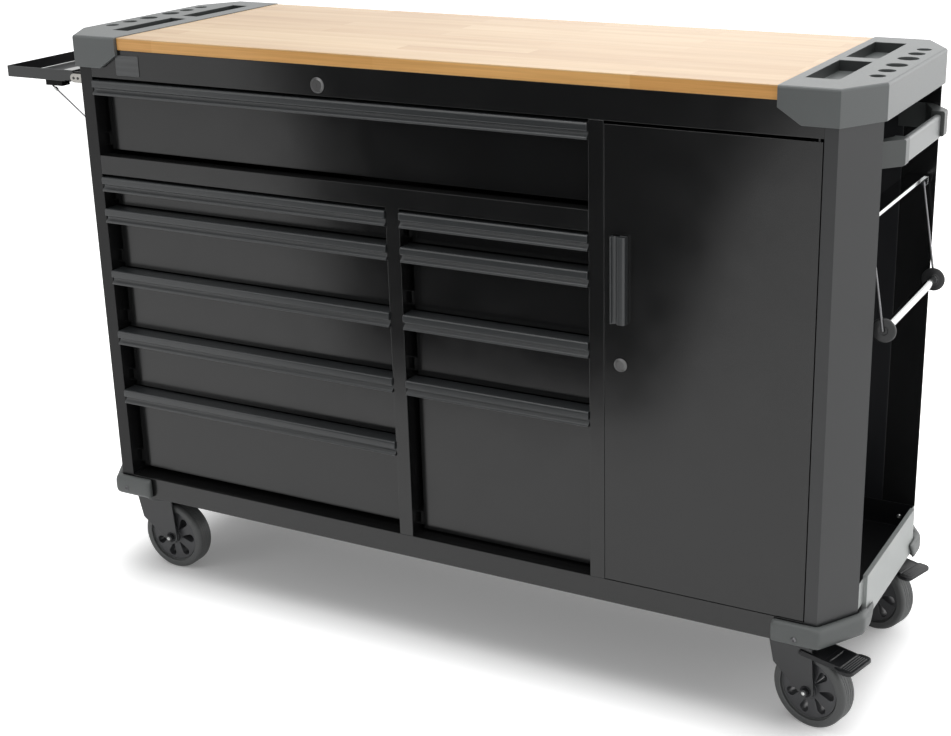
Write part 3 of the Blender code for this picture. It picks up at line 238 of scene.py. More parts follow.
soft_panel("right_rear", (middle_x + 2.9, 2.3, 1.3), (middle_x + 0.7, 0, 0.6), 3.2, 2.4, 41)
soft_panel("right_side", (middle_x + 3.4, -0.2, 1.1), (middle_x + 0.7, 0, 0.6), 2.0, 2.0, 6)
soft_panel("overhead", (middle_x + 0.2, -0.2, 3.2), (middle_x, 0, 0.6), 2.6, 2.0, 40)
soft_panel("front", (middle_x - 2.6, -3.4, 2.2), (middle_x, 0, 0.5), 2.2, 1.6, 12.5)

# Studio flag: an upright black board in front, out of sight, that only shows in the gloss. It gives
# the upper right of the front its dark reflection, with the same slanted sides.
flag_y = -1.33
flag_line = (
    (-0.08, 0.0), (0.0, 0.20), (0.11, 0.55), (0.24, 0.72), (0.34, 1.30),
    (-1.34, 1.30), (-1.10, 0.76), (-1.04, 0.55), (-0.98, 0.30), (-0.92, 0.0),
)
flag_shape = bmesh.new()
flag_corners = [flag_shape.verts.new((middle_x + across, flag_y, up)) for across, up in flag_line]
flag_shape.faces.new(flag_corners)
flag_mesh = bpy.data.meshes.new("flag")
flag_shape.to_mesh(flag_mesh)
flag_shape.free()
flag = bpy.data.objects.new("flag", flag_mesh)
bpy.context.scene.collection.objects.link(flag)
flag.visible_camera = False
flag.visible_diffuse = False
flag.visible_shadow = False
flag.visible_transmission = False
flag_cloth, _, flag_surface = blank_material("flag_cloth")
flag_surface.inputs["Base Color"].default_value = (0.01, 0.01, 0.012, 1)
flag_surface.inputs["Roughness"].default_value = 1.0
flag_surface.inputs["Specular IOR Level"].default_value = 0.0
flag_mesh.materials.append(flag_cloth)


# Carcass: cold-rolled steel sheet, folded, spot-welded and powder-coated in black satin. The coat
# has the faint orange peel of baked powder, and a paler tone along its folds is a painted
# highlight.
def noise(tree, scale, detail, stretch=(1, 1, 1)):
    """A noise pattern fixed to the piece, drawn out along its axes as asked."""
    place = tree.nodes.new("ShaderNodeTexCoord")
    mapping = tree.nodes.new("ShaderNodeMapping")
    mapping.inputs["Scale"].default_value = stretch
    pattern = tree.nodes.new("ShaderNodeTexNoise")
    pattern.inputs["Scale"].default_value = scale
    pattern.inputs["Detail"].default_value = detail
    tree.links.new(place.outputs["Object"], mapping.inputs["Vector"])
    tree.links.new(mapping.outputs[0], pattern.inputs["Vector"])
    return pattern.outputs["Fac"]


def remapped(tree, value, low, high):
    """The middle part of a pattern's range, spread from low to high."""
    spread = tree.nodes.new("ShaderNodeMapRange")
    spread.inputs["From Min"].default_value = 0.3
    spread.inputs["From Max"].default_value = 0.7
    spread.inputs["To Min"].default_value = low
    spread.inputs["To Max"].default_value = high
    tree.links.new(value, spread.inputs["Value"])
    return spread.outputs[0]


def mixed(tree, factor, first, second):
    """A blend of two colours, each three numbers or a socket."""
    blend = tree.nodes.new("ShaderNodeMix")
    blend.data_type = "RGBA"
    for slot_index, colour in ((6, first), (7, second)):
        if isinstance(colour, tuple):
            blend.inputs[slot_index].default_value = (*colour, 1)
        else:
            tree.links.new(colour, blend.inputs[slot_index])
    tree.links.new(factor, blend.inputs[0])
    return blend.outputs[2]


def soft_edges(tree, radius, height, strength, depth):
    """Fine relief, over edges that are rounded by the radius if there is one."""
    relief = tree.nodes.new("ShaderNodeBump")
    relief.inputs["Strength"].default_value = strength
    relief.inputs["Distance"].default_value = depth
    tree.links.new(height, relief.inputs["Height"])
    if radius:
        edge = tree.nodes.new("ShaderNodeBevel")
        edge.samples = 6
        edge.inputs["Radius"].default_value = radius
        tree.links.new(edge.outputs[0], relief.inputs["Normal"])
    return relief.outputs[0]


# The paler tones laid on edges through this mask are painted highlights.
def edge_highlight_mask(tree, radius):
    """How far a spot lies on a fold or edge: nothing on a flat, and up to one on a sharp corner."""
    edge = tree.nodes.new("ShaderNodeBevel")
    edge.samples = 6
    edge.inputs["Radius"].default_value = radius
    flat = tree.nodes.new("ShaderNodeNewGeometry")
    turn = tree.nodes.new("ShaderNodeVectorMath")
    turn.operation = "DOT_PRODUCT"
    tree.links.new(edge.outputs[0], turn.inputs[0])
    tree.links.new(flat.outputs["Normal"], turn.inputs[1])
    return eased(tree, turn.outputs["Value"], 0.99, 0.80, 0.0, 1.0)


def lay_coat(tree, surface, tone, sheen, relief):
    """Joins a finish's tone, roughness and relief to the surface."""
    for socket, source in (("Base Color", tone), ("Roughness", sheen), ("Normal", relief)):
        tree.links.new(source, surface.inputs[socket])


def powder_coat(
    name, light_tone, dark_tone, roughness, edge_radius=0.0012, edge_highlight_tone=None, gloss=0.5
):
    """Baked powder in two close tones, with a painted edge highlight if it has a highlight tone."""
    material, tree, surface = blank_material(name)
    tone = mixed(tree, noise(tree, 2.5, 3), light_tone, dark_tone)
    # A paler tone on the edges: a painted highlight.
    if edge_highlight_tone:
        tone = mixed(tree, edge_highlight_mask(tree, edge_radius), tone, edge_highlight_tone)
    handled = remapped(tree, noise(tree, 14, 4), roughness - 0.03, roughness + 0.03)
    peel = soft_edges(tree, edge_radius, noise(tree, 300, 2), 0.04, 0.00008)
    lay_coat(tree, surface, tone, handled, peel)
    surface.inputs["Specular IOR Level"].default_value = gloss
    return material


def dress(material, *nodes):
    """Gives whole nodes of the bench one material."""
    for name in nodes:
        piece = frame["nodes"][name]
        piece.data.materials.clear()
        piece.data.materials.append(material)


# The body coat's paler edge tone is a painted highlight.
body_coat = powder_coat(
    "body_coat", (0.0135, 0.0138, 0.0140), (0.0110, 0.0112, 0.0114), roughness=0.19,
    edge_highlight_tone=(0.030, 0.031, 0.032),
)
dress(body_coat, "right_rear_column", "back_panel", "base_pan", "top_frame")
dress(body_coat, "drawer_divider", "door_divider", "cabinet_shelf")

# The side coat's paler edge tone is a painted highlight.
side_coat = powder_coat(
    "side_coat", (0.0130, 0.0132, 0.0135), (0.0105, 0.0107, 0.0110), roughness=0.24,
    edge_highlight_tone=(0.028, 0.029, 0.030), gloss=0.26,
)
dress(side_coat, "left_side")

# Right front column: the same folded sheet, with a broad slanted face that looks to the right. Its
# coat is painted a shade greyer than the body's: a painted sheen for the lamps on that side.
column_sheen_coat = powder_coat(
    "column_sheen_coat", (0.0295, 0.0307, 0.0320), (0.0260, 0.0270, 0.0282), roughness=0.32, edge_radius=0
)
dress(column_sheen_coat, "right_front_column")


# Corner gusset: a small folded steel plate in the niche's matt coat. It closes the open foot of the
# left side and is spot-welded beside the base pan.
def side_faces(shape, rings):
    """Faces between rings of corners, each ring joined to the next."""
    for first, second in zip(rings, rings[1:]):
        for step in range(len(first)):
            after = (step + 1) % len(first)
            shape.faces.new((first[step], first[after], second[after], second[step]))


def solid_faces(shape, rings):
    """The same faces, closed by the last ring and by the first."""
    side_faces(shape, rings)
    shape.faces.new(rings[-1])
    shape.faces.new(list(reversed(rings[0])))


def flat_plate(shape, outline, origin, across, up, thickness, edge):
    """Adds a plate with a bevelled front edge: the outline's points lie along across and up."""
    across, up = Vector(across), Vector(up)
    out = across.cross(up).normalized()
    middle = [sum(point[axis] for point in outline) / len(outline) for axis in (0, 1)]
    spans = [max(abs(point[axis] - middle[axis]) for point in outline) for axis in (0, 1)]
    rings = []
    for inset, rise in ((0, 0), (0, thickness - edge), (edge, thickness)):
        ring = []
        for point in outline:
            place = Vector(origin) + out * rise
            for axis, way in ((0, across), (1, up)):
                share = 1 - inset / spans[axis]
                place += way * (middle[axis] + (point[axis] - middle[axis]) * share)
            ring.append(shape.verts.new(place))
        rings.append(ring)
    solid_faces(shape, rings)


def piece_from(name, shape, materials, body, sharp=35):
    """Makes the shape a smooth piece that rides on its body, creased at its sharp edges."""
    mesh = bpy.data.meshes.new(name)
    bmesh.ops.recalc_face_normals(shape, faces=shape.faces)
    for face in shape.faces:
        face.smooth = True
    shape.to_mesh(mesh)
    shape.free()
    mesh.set_sharp_from_angle(angle=math.radians(sharp))
    for material in materials:
        mesh.materials.append(material)
    piece = bpy.data.objects.new(name, mesh)
    bpy.context.scene.collection.objects.link(piece)
    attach(piece, body)
    return piece


niche_coat = powder_coat("niche_coat", (0.0210, 0.0215, 0.0240), (0.0170, 0.0175, 0.0198), 0.32)
base_low, base_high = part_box("base_pan")
gusset_inner = base_low.x + 0.042 - middle_x
gusset_line = [
    (gusset_inner, -0.2228), (gusset_inner, 0.2228), (-0.6640, 0.2228),
    (-0.7036, 0.1565), (-0.7036, -0.1565), (-0.6640, -0.2228),
]
gusset_place = (middle_x, 0, base_high.z - 0.0016)
gusset = bmesh.new()
flat_plate(gusset, gusset_line, gusset_place, (1, 0, 0), (0, 1, 0), thickness=0.0010, edge=0.0002)
piece_from("corner_gusset", gusset, [niche_coat], "cabinet")

# Niche lining: folded steel sheet in a matt black coat between the two right columns. Four dome
# screws of zinc-plated steel hold it from outside.
dress(niche_coat, "niche_panel")


def metal(name, light_tone, dark_tone, roughness, stretch=(1, 1, 1), edge_radius=0.0006):
    """Bare or plated metal with fine drawn lines along the stretched axis."""
    material, tree, surface = blank_material(name)
    lines = noise(tree, 60, 3, stretch)
    tone = mixed(tree, lines, light_tone, dark_tone)
    sheen = remapped(tree, lines, roughness - 0.04, roughness + 0.04)
    lay_coat(tree, surface, tone, sheen, soft_edges(tree, edge_radius, lines, 0.06, 0.0001))
    surface.inputs["Metallic"].default_value = 1.0
    return material


def turned(shape, profile, steps, turn, finish=0):
    """Adds a turned form. The profile's points are radius and height, from axis to axis."""
    rings = []
    for radius, height in profile:
        if radius < 1e-6:
            rings.append([shape.verts.new(turn @ Vector((0, 0, height)))])
            continue
        ring = []
        for step in range(steps):
            angle = math.tau * step / steps
            spot = Vector((radius * math.cos(angle), radius * math.sin(angle), height))
            ring.append(shape.verts.new(turn @ spot))
        rings.append(ring)
    if len(rings[0]) > 1:
        rings.append(rings[0])
    for first, second in zip(rings, rings[1:]):
        for step in range(steps):
            after = (step + 1) % steps
            corners = [first[step % len(first)], first[after % len(first)]]
            corners += [second[after % len(second)], second[step % len(second)]]
            face = shape.faces.new(dict.fromkeys(corners))
            face.material_index = finish
            face.smooth = True


def facing(place, direction):
    """The turn that stands a form on the place, with its height along the direction."""
    turn = Vector(direction).to_track_quat("Z", "Y").to_matrix().to_4x4()
    return Matrix.Translation(place) @ turn


def on_surface(piece, start, direction):
    """Where a line from the start first meets the piece or node, and which way it faces there."""
    if isinstance(piece, str):
        piece = frame["nodes"][piece]
    met, place, normal, _ = piece.ray_cast(Vector(start), Vector(direction))
    if not met:
        raise ValueError(f"nothing of {piece.name} lies that way")
    return place, normal


def dome_screw(shape, place, direction, radius):
    """Dome head with a round socket."""
    rise = 0.55 * radius
    profile = [
        (0, 0.30 * rise), (0.34 * radius, 0.30 * rise), (0.38 * radius, 0.96 * rise),
        (0.62 * radius, 0.86 * rise), (0.86 * radius, 0.55 * rise), (radius, 0.12 * rise),
        (radius, -0.4 * rise), (0, -0.4 * rise),
    ]
    turned(shape, profile, 20, facing(place, direction))


bright_zinc = metal("bright_zinc", (0.62, 0.63, 0.62), (0.52, 0.53, 0.52), 0.32)
niche_screws = bmesh.new()
for across in (-0.060, 0.060):
    for up in (0.878, 0.560):
        spot = on_surface("niche_panel", (middle_x + 0.69, across, up), (-1, 0, 0))
        dome_screw(niche_screws, *spot, 0.0032)
piece_from("niche_screws", niche_screws, [bright_zinc], "cabinet")


# Work top: solid beech strips glued side by side, oiled and varnished. The grain runs along the
# bench, each strip has its own tone, and the pores show as short dark flecks. Its edges are tinted
# warmer and its face a little cooler, a painted difference of sheen between them.
def beech_board(name):
    """Staves in strips, each of its own tone, under a broad figure and fine pores."""
    material, tree, surface = blank_material(name)
    axes = piece_axes(tree)
    strip_width = 0.038
    stave_length = 0.43
    stave_shift = 0.217
    strip = sum_node(tree, "FLOOR", sum_node(tree, "DIVIDE", axes["Y"], strip_width))
    along = sum_node(tree, "ADD", axes["X"], sum_node(tree, "MULTIPLY", strip, stave_shift))
    stave = sum_node(tree, "FLOOR", sum_node(tree, "DIVIDE", along, stave_length))
    each = tree.nodes.new("ShaderNodeCombineXYZ")
    tree.links.new(strip, each.inputs[0])
    tree.links.new(stave, each.inputs[1])
    chance = tree.nodes.new("ShaderNodeTexWhiteNoise")
    chance.noise_dimensions = "3D"
    tree.links.new(each.outputs[0], chance.inputs["Vector"])
    tone = mixed(tree, chance.outputs["Value"], (0.70, 0.445, 0.215), (0.82, 0.575, 0.315))
    grain = remapped(tree, noise(tree, 9, 6, (0.35, 6, 6)), 0, 1)
    figure = mixed(tree, grain, (0.90, 0.86, 0.80), (1.03, 1.03, 1.03))
    pores = noise(tree, 60, 3, (0.10, 6, 6))
    flecks = mixed(tree, remapped(tree, pores, 0, 1), (0.88, 0.84, 0.78), (1.02, 1.02, 1.02))
    # Below the face the wood is tinted warmer, on the face a little cooler: a painted sheen.
    face_level = wood_high.z - 0.0016
    on_edge = sum_node(tree, "LESS_THAN", axes["Z"], face_level)
    painted_sheen_tint = mixed(tree, on_edge, (1.0, 1.02, 1.04), (1.22, 1.02, 0.70))
    for layer in (figure, flecks, painted_sheen_tint):
        product = tree.nodes.new("ShaderNodeMix")
        product.data_type = "RGBA"
        product.blend_type = "MULTIPLY"
        product.inputs[0].default_value = 1.0
        tree.links.new(tone, product.inputs[6])
        tree.links.new(layer, product.inputs[7])
        tone = product.outputs[2]
    sheen = remapped(tree, pores, 0.27, 0.20)
    lay_coat(tree, surface, tone, sheen, soft_edges(tree, 0.0022, pores, 0.10, 0.0002))
    surface.inputs["Specular IOR Level"].default_value = 0.35
    return material


dress(beech_board("beech"), "wood_top")


# End caps: moulded grey plastic with a fine spark-eroded grain, over both ends of the wooden top.
# They are screwed down from below, and a paler tone on their edges is a painted highlight.
def moulded(name, light_tone, dark_tone, roughness, grain_scale=900, edge_radius=0.0015):
    """Grained plastic in two close tones, with a painted highlight on its edges."""
    material, tree, surface = blank_material(name)
    tone = mixed(tree, noise(tree, 6, 4), light_tone, dark_tone)
    painted_glint_tone = tuple(min(1.0, 1.5 * share) for share in light_tone)
    tone = mixed(tree, edge_highlight_mask(tree, edge_radius), tone, painted_glint_tone)
    grain = noise(tree, grain_scale, 2)
    sheen = remapped(tree, grain, roughness - 0.03, roughness + 0.03)
    lay_coat(tree, surface, tone, sheen, soft_edges(tree, edge_radius, grain, 0.18, 0.0002))
    return material


def masked(material, colour, gloss, *tests):
    """Lays a second colour and gloss on a coat where each test holds: an axis, a side, a limit."""
    tree = material.node_tree
    surface = tree.nodes["Principled BSDF"]
    plain = surface.inputs["Base Color"].links[0].from_socket
    axes = piece_axes(tree)
    share = None
    for axis, side, limit in tests:
        here = sum_node(tree, side, axes[axis], limit)
        share = here if share is None else sum_node(tree, "MULTIPLY", share, here)
    second = mixed(tree, noise(tree, 5, 3), colour, tuple(0.86 * tone for tone in colour))
    tree.links.new(mixed(tree, share, plain, second), surface.inputs["Base Color"])
    shine = surface.inputs["Specular IOR Level"]
    before = shine.links[0].from_socket if shine.links else shine.default_value
    less = sum_node(tree, "MULTIPLY", sum_node(tree, "SUBTRACT", before, gloss), share)
    tree.links.new(sum_node(tree, "SUBTRACT", before, less), shine)


cap_plastic = moulded("cap_plastic", (0.128, 0.138, 0.137), (0.112, 0.121, 0.121), 0.34)
dress(cap_plastic, "left_cap", "right_cap")

# Small-parts pockets: two sunk in each end cap and moulded in one with it. The caps' plastic is
# painted darker between their walls: a painted shade inside the pockets.
cap_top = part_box("right_cap")[1].z
pocket_shade_tone = (0.052, 0.056, 0.056)
pocket_rim = 0.0006
pocket_floor = 0.0160
pocket_wall = 0.0011
for low_x, high_x in ((-0.556213, -0.523213), (0.677787, 0.725787)):
    for low_y, high_y in ((-0.160, -0.005), (0.026, 0.176)):
        masked(
            cap_plastic, pocket_shade_tone, 0.25,
            ("Z", "LESS_THAN", cap_top - pocket_rim), ("Z", "GREATER_THAN", cap_top - pocket_floor),
            ("X", "GREATER_THAN", low_x - pocket_wall), ("X", "LESS_THAN", high_x + pocket_wall),
            ("Y", "GREATER_THAN", low_y - pocket_wall), ("Y", "LESS_THAN", high_y + pocket_wall),
        )

# Drawers: boxes of folded sheet in the body's coat, each with a folded pan for its front. They run
# out on a slide bar at either side.
drawer_names = [
    name for name in frame["bodies"] if name.startswith("drawer_") and name != "drawer_lock"
]
# The drawer coat's paler edge tone is a painted highlight.
drawer_coat = powder_coat(
    "drawer_coat", (0.0130, 0.0133, 0.0135), (0.0108, 0.0110, 0.0112), roughness=0.18,
    edge_highlight_tone=(0.026, 0.027, 0.028),
)
dress(drawer_coat, *drawer_names)


# Pull strips: drawn aluminium, anodised black, with the fine lengthwise lines of the die. Each is
# fixed along the upper edge of its drawer's front, and its hollow face takes the fingers.
def anodised(name, stretch):
    """Black anodised metal with fine lines along the stretched axis and painted edge highlights."""
    material, tree, surface = blank_material(name)
    lines = noise(tree, 60, 3, stretch)
    tone = mixed(tree, lines, (0.036, 0.039, 0.041), (0.028, 0.031, 0.033))
    tone = mixed(tree, edge_highlight_mask(tree, 0.0010), tone, (0.075, 0.078, 0.080))
    sheen = remapped(tree, lines, 0.30, 0.38)
    lay_coat(tree, surface, tone, sheen, soft_edges(tree, 0.0010, lines, 0.03, 0.00005))
    surface.inputs["Specular IOR Level"].default_value = 0.65
    return material


def arc(centre, radius, start, end, steps):
    """Points round the centre from the start angle to the end angle, in degrees."""
    points = []
    for step in range(steps + 1):
        angle = math.radians(start + (end - start) * step / steps)
        points.append((centre[0] + radius * math.cos(angle), centre[1] + radius * math.sin(angle)))
    return points


def pull_strip(name, body, foot, material, upright=False):
    """A hooked strip in place of the plain pull: nose, face, hollow, lip and web."""
    low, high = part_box(name)
    if upright:
        start, aside, width = (high.x, high.y, low.z), Vector((-1, 0, 0)), high.x - low.x
    else:
        start, aside, width = (low.x, high.y, high.z), Vector((0, 0, -1)), high.z - low.z
    outward = Vector((0, -1, 0))
    depth = high.y - low.y
    nose = 0.0040
    lip = 0.0022
    wall = 0.0018
    face_back = depth - 0.0078
    lip_back = depth - 0.0100
    hollow = (
        (0.0112, 0), (0.0122, 0.0006), (0.0130, 0.0036), (0.0144, 0.0052),
        (0.0164, 0.0056), (0.0186, 0.0046), (0.0204, 0.0026), (0.0216, 0.0008),
    )
    line = [(0, 0), *arc((nose, depth - nose), nose, 180, 90, 6)]
    line += [(across, depth - sink) for across, sink in hollow]
    line += arc((width - lip, depth - lip), lip, 105, 0, 6)
    line += [(width, lip_back), (width - wall, lip_back)]
    line += [(width - wall, face_back), (wall, face_back)]
    line += [(wall, wall), (foot, wall), (foot, 0)] if foot else [(wall, 0)]
    shape = bmesh.new()
    rings = [
        [shape.verts.new(Vector(place) + aside * across + outward * out) for across, out in line]
        for place in (start, (high.x, high.y, high.z))
    ]
    solid_faces(shape, rings[::-1])
    piece = piece_from("hooked_" + name, shape, [material], body, 28)
    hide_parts(name)


pull_finish = anodised("pull_finish", (0.02, 25, 25))
for drawer_name in drawer_names:
    pull_strip(drawer_name + "_pull", drawer_name, 0, pull_finish)

# Door: a folded pan in the body's coat, on pins at its right edge. Its own pull strip stands
# upright along the free edge and has a short foot behind it.
dress(body_coat, "door")
upright_finish = anodised("upright_finish", (25, 25, 0.02))
pull_strip("door_pull", "door", 0.012, upright_finish, upright=True)

# Locks: turned brass cylinders, nickel-plated, one for the drawers and one for the door. Each sits
# in a thin collar pressed round its hole.
nickel = metal("nickel", (0.21, 0.21, 0.21), (0.15, 0.15, 0.15), 0.32)
dress(nickel, "drawer_lock", "door_lock")
for lock_name, lock_body in (("drawer_lock", "cabinet"), ("door_lock", "door")):
    lock_low, lock_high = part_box(lock_name)
    lock_radius = (lock_high.x - lock_low.x) / 2
    lock_middle = Vector(
        ((lock_low.x + lock_high.x) / 2, lock_low.y + 0.0016, (lock_low.z + lock_high.z) / 2)
    )
    collar = bmesh.new()
    collar_line = [
        (lock_radius + 0.0003, -0.0012), (lock_radius + 0.0003, 0.0010),
        (lock_radius + 0.0010, 0.0014), (lock_radius + 0.0020, 0.0006),
        (lock_radius + 0.0022, -0.0012),
    ]
    turned(collar, collar_line, 48, facing(lock_middle, (0, -1, 0)))
    piece_from(lock_name + "_collar", collar, [nickel], lock_body)


# Bare plate: a small plain plate of greyed metal with rounded corners. It is riveted to the left
# end of the top rail.
def rounded_outline(low, high, radius, steps=6):
    """The outline of a rectangle from low to high, with round corners."""
    near_x, near_y = low[0] + radius, low[1] + radius
    far_x, far_y = high[0] - radius, high[1] - radius
    points = arc((far_x, far_y), radius, 0, 90, steps)
    points += arc((near_x, far_y), radius, 90, 180, steps)
    points += arc((near_x, near_y), radius, 180, 270, steps)
    return points + arc((far_x, near_y), radius, 270, 360, steps)


plate_place, _ = on_surface("top_frame", (middle_x - 0.559, -0.5, 0.948), (0, 1, 0))
plate_grey = metal(
    "plate_grey", (0.115, 0.117, 0.118), (0.085, 0.087, 0.088), 0.32, (0.05, 4, 4), 0.0003
)
plate_line = rounded_outline((-0.0245, -0.0172), (0.0245, 0.0172), 0.002)
plate = bmesh.new()
flat_plate(plate, plate_line, plate_place, (1, 0, 0), (0, 0, 1), thickness=0.0012, edge=0.0004)
piece_from("bare_plate", plate, [plate_grey], "cabinet")

# Push handle: a flat aluminium bar in a pale grey coat. It sits between two moulded brackets that
# are screwed to the right columns.
bar_finish = moulded("bar_finish", (0.28, 0.29, 0.29), (0.245, 0.255, 0.255), 0.36)
dress(bar_finish, "push_handle_bar")
bracket_plastic = moulded("bracket_plastic", (0.072, 0.078, 0.077), (0.062, 0.067, 0.066), 0.36)
dress(bracket_plastic, "push_bracket_front", "push_bracket_rear")

# Roll holder: a plated strip across the niche, and a wire bail that carries a bright tube between
# two black discs.
plating = metal("plating", (0.66, 0.67, 0.67), (0.56, 0.57, 0.57), 0.16, (1, 0.02, 1), 0.0005)
dress(plating, "roll_holder")
black_plastic = moulded("black_plastic", (0.036, 0.037, 0.038), (0.029, 0.030, 0.031), 0.42)
wire_steel = metal("wire_steel", (0.20, 0.20, 0.205), (0.15, 0.15, 0.155), 0.34)


def bent_wire(name, points, radius, bend, body, material):
    """A round wire along straight runs, with an arc of the bend radius at each corner."""
    arc_steps = 8
    path = [Vector(points[0])]
    for before, corner, after in zip(points, points[1:], points[2:]):
        corner = Vector(corner)
        back = (Vector(before) - corner).normalized()
        ahead = (Vector(after) - corner).normalized()
        half = back.angle(ahead) / 2
        cut = bend / math.tan(half)
        centre = corner + (back + ahead).normalized() * (bend / math.sin(half))
        start = (corner + back * cut - centre).normalized()
        end = (corner + ahead * cut - centre).normalized()
        for step in range(arc_steps + 1):
            path.append(centre + start.slerp(end, step / arc_steps) * bend)
    path.append(Vector(points[-1]))
    line = bpy.data.curves.new(name, "CURVE")
    line.dimensions = "3D"
    line.bevel_depth = radius
    line.bevel_resolution = 5
    line.use_fill_caps = True
    run = line.splines.new("POLY")
    run.points.add(len(path) - 1)
    for point, spot in zip(run.points, path):
        point.co = (*spot, 1)
    line.materials.append(material)
    piece = bpy.data.objects.new(name, line)
    bpy.context.scene.collection.objects.link(piece)
    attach(piece, body)
    return piece


joint_of = {joint["name"]: joint for joint in frame["joints"]}
roller_middle = Vector(joint_of["roller_spin"]["pos_m"])
bail_pivot = Vector(joint_of["bail_swing"]["pos_m"])
roller_low, roller_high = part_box("roller")
bail_wire = 0.0018
roller_half = roller_high.y
leg_y = roller_half + 0.0005 + bail_wire
bail_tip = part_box("bail")[1].y
bail_line = [
    (bail_pivot.x, -bail_tip, bail_pivot.z), (bail_pivot.x, -leg_y, bail_pivot.z),
    (roller_middle.x, -leg_y, roller_middle.z), (roller_middle.x, leg_y, roller_middle.z),
    (bail_pivot.x, leg_y, bail_pivot.z), (bail_pivot.x, bail_tip, bail_pivot.z),
]
bail_piece = bent_wire("bail_wire", bail_line, bail_wire, bail_wire + 0.0003, "bail", wire_steel)
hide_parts("bail")

disc_radius = (roller_high.z - roller_low.z) / 2
disc_inner = roller_half - 0.006
tube_radius = 0.0068
tube_bore = 0.00225
roller_turn = facing(roller_middle, (0, 1, 0))
roller_shape = bmesh.new()
tube_line = [
    (tube_bore, -disc_inner - 0.001), (tube_radius, -disc_inner - 0.001),
    (tube_radius, disc_inner + 0.001), (tube_bore, disc_inner + 0.001),
]
turned(roller_shape, tube_line, 48, roller_turn, 0)
for way in (-1, 1):
    disc_line = [
        (tube_bore, disc_inner), (0.0095, disc_inner), (0.0100, disc_inner + 0.0006),
        (disc_radius - 0.0022, disc_inner + 0.0010), (disc_radius - 0.0006, disc_inner + 0.0016),
        (disc_radius, disc_inner + 0.0028), (disc_radius - 0.0003, roller_half - 0.0012),
        (disc_radius - 0.0020, roller_half), (0.0070, roller_half), (0.0062, roller_half - 0.0012),
        (tube_bore, roller_half - 0.0012),
    ]
    disc_line = [(radius, way * height) for radius, height in disc_line]
    turned(roller_shape, disc_line, 64, roller_turn, 1)
tube_chrome = metal("tube_chrome", (0.60, 0.61, 0.61), (0.52, 0.53, 0.53), 0.12, (1, 0.02, 1))
roller_piece = piece_from(
    "roll_tube", roller_shape, [tube_chrome, black_plastic], "roller"
)
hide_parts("roller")

# Side tray: a folded black pan in the foot of the niche, held by a dome screw in its end wall. Its
# tall outer lip closes the niche and is coated pale grey.
tray_coat = powder_coat(
    "tray_coat", (0.0065, 0.0068, 0.0078), (0.0050, 0.0052, 0.0060), 0.40, edge_radius=0.0010
)
tray_tree = tray_coat.node_tree
tray_base = tray_tree.nodes["Principled BSDF"].inputs["Base Color"]
lip_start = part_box("side_tray")[1].x - 0.0074
on_lip = sum_node(tray_tree, "GREATER_THAN", piece_axes(tray_tree)["X"], lip_start)
pale_lip = mixed(tray_tree, noise(tray_tree, 5, 3), (0.43, 0.45, 0.44), (0.37, 0.39, 0.385))
tray_tone = mixed(tray_tree, on_lip, tray_base.links[0].from_socket, pale_lip)
tray_tree.links.new(tray_tone, tray_base)
dress(tray_coat, "side_tray")
tray_screw = bmesh.new()
spot = on_surface("side_tray", (middle_x + 0.6806, 0, 0.2145), (0, 1, 0))
dome_screw(tray_screw, *spot, 0.0042)
piece_from("tray_screw", tray_screw, [bright_zinc], "cabinet")

# Folding shelf: a folded tray in the body's coat between two zinc-plated hinge cheeks that are
# riveted to the side, with a plated strip along its hinged wall.
# The shelf coat's paler edge tone is a painted highlight.
shelf_coat = powder_coat(
    "shelf_coat", (0.048, 0.050, 0.051), (0.040, 0.042, 0.043), roughness=0.36,
    edge_radius=0.0008, edge_highlight_tone=(0.16, 0.17, 0.17),
)
shelf_low, shelf_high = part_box("side_shelf")
shelf_pan_bottom = shelf_high.z - 0.0197
# Below the pan's floor the coat is painted near black: a painted shade under the shelf.
masked(shelf_coat, (0.006, 0.006, 0.006), 0.10, ("Z", "LESS_THAN", shelf_pan_bottom - 0.0004))
# A thin slice just inside the outer wall is painted darker: a painted shade on its inner face.
masked(
    shelf_coat, (0.010, 0.010, 0.011), 0.20,
    ("X", "LESS_THAN", shelf_low.x + 0.0016), ("X", "GREATER_THAN", shelf_low.x + 0.0006),
)
dress(shelf_coat, "side_shelf")
shelf_axis = Vector(joint_of["shelf_fold"]["pos_m"])
shelf_ends = (shelf_low.y + 0.002, shelf_high.y - 0.002)
bead_x = shelf_low.x + 0.0022
bead_z = shelf_pan_bottom + 0.0016
bead_round = 0.0009
bead_line = [(0.0, -bead_round), (bead_round, 0.0), (0.0, bead_round), (-bead_round, 0.0)]
bead = bmesh.new()
bead_rings = [
    [bead.verts.new((bead_x + across, along, bead_z + up)) for across, up in bead_line]
    for along in shelf_ends
]
solid_faces(bead, bead_rings[::-1])
piece_from("shelf_bead", bead, [bright_zinc], "side_shelf")
wall_x = middle_x - 0.7053
cheek_level = shelf_axis.z - 0.0033
cheek_reach = 0.0435
cheek_half = 0.0080
cheek_thickness = 0.0012
cheek_line = [(0.0006, -cheek_half), (0.0006, cheek_half)]
cheek_line += arc((-cheek_reach, 0), cheek_half, 90, 270, 10)
cheek_zinc = metal("cheek_zinc", (0.46, 0.45, 0.42), (0.38, 0.37, 0.35), 0.34)
rivet_steel = metal("rivet_steel", (0.10, 0.10, 0.10), (0.07, 0.07, 0.07), 0.45)
rivet_line = [(0, 0.0012), (0.0016, 0.0010), (0.0026, 0.0003), (0.0026, -0.0004), (0, -0.0004)]
cheek_sides = ((-1, "front", shelf_low.y - 0.0003), (1, "rear", shelf_high.y + 0.0003))
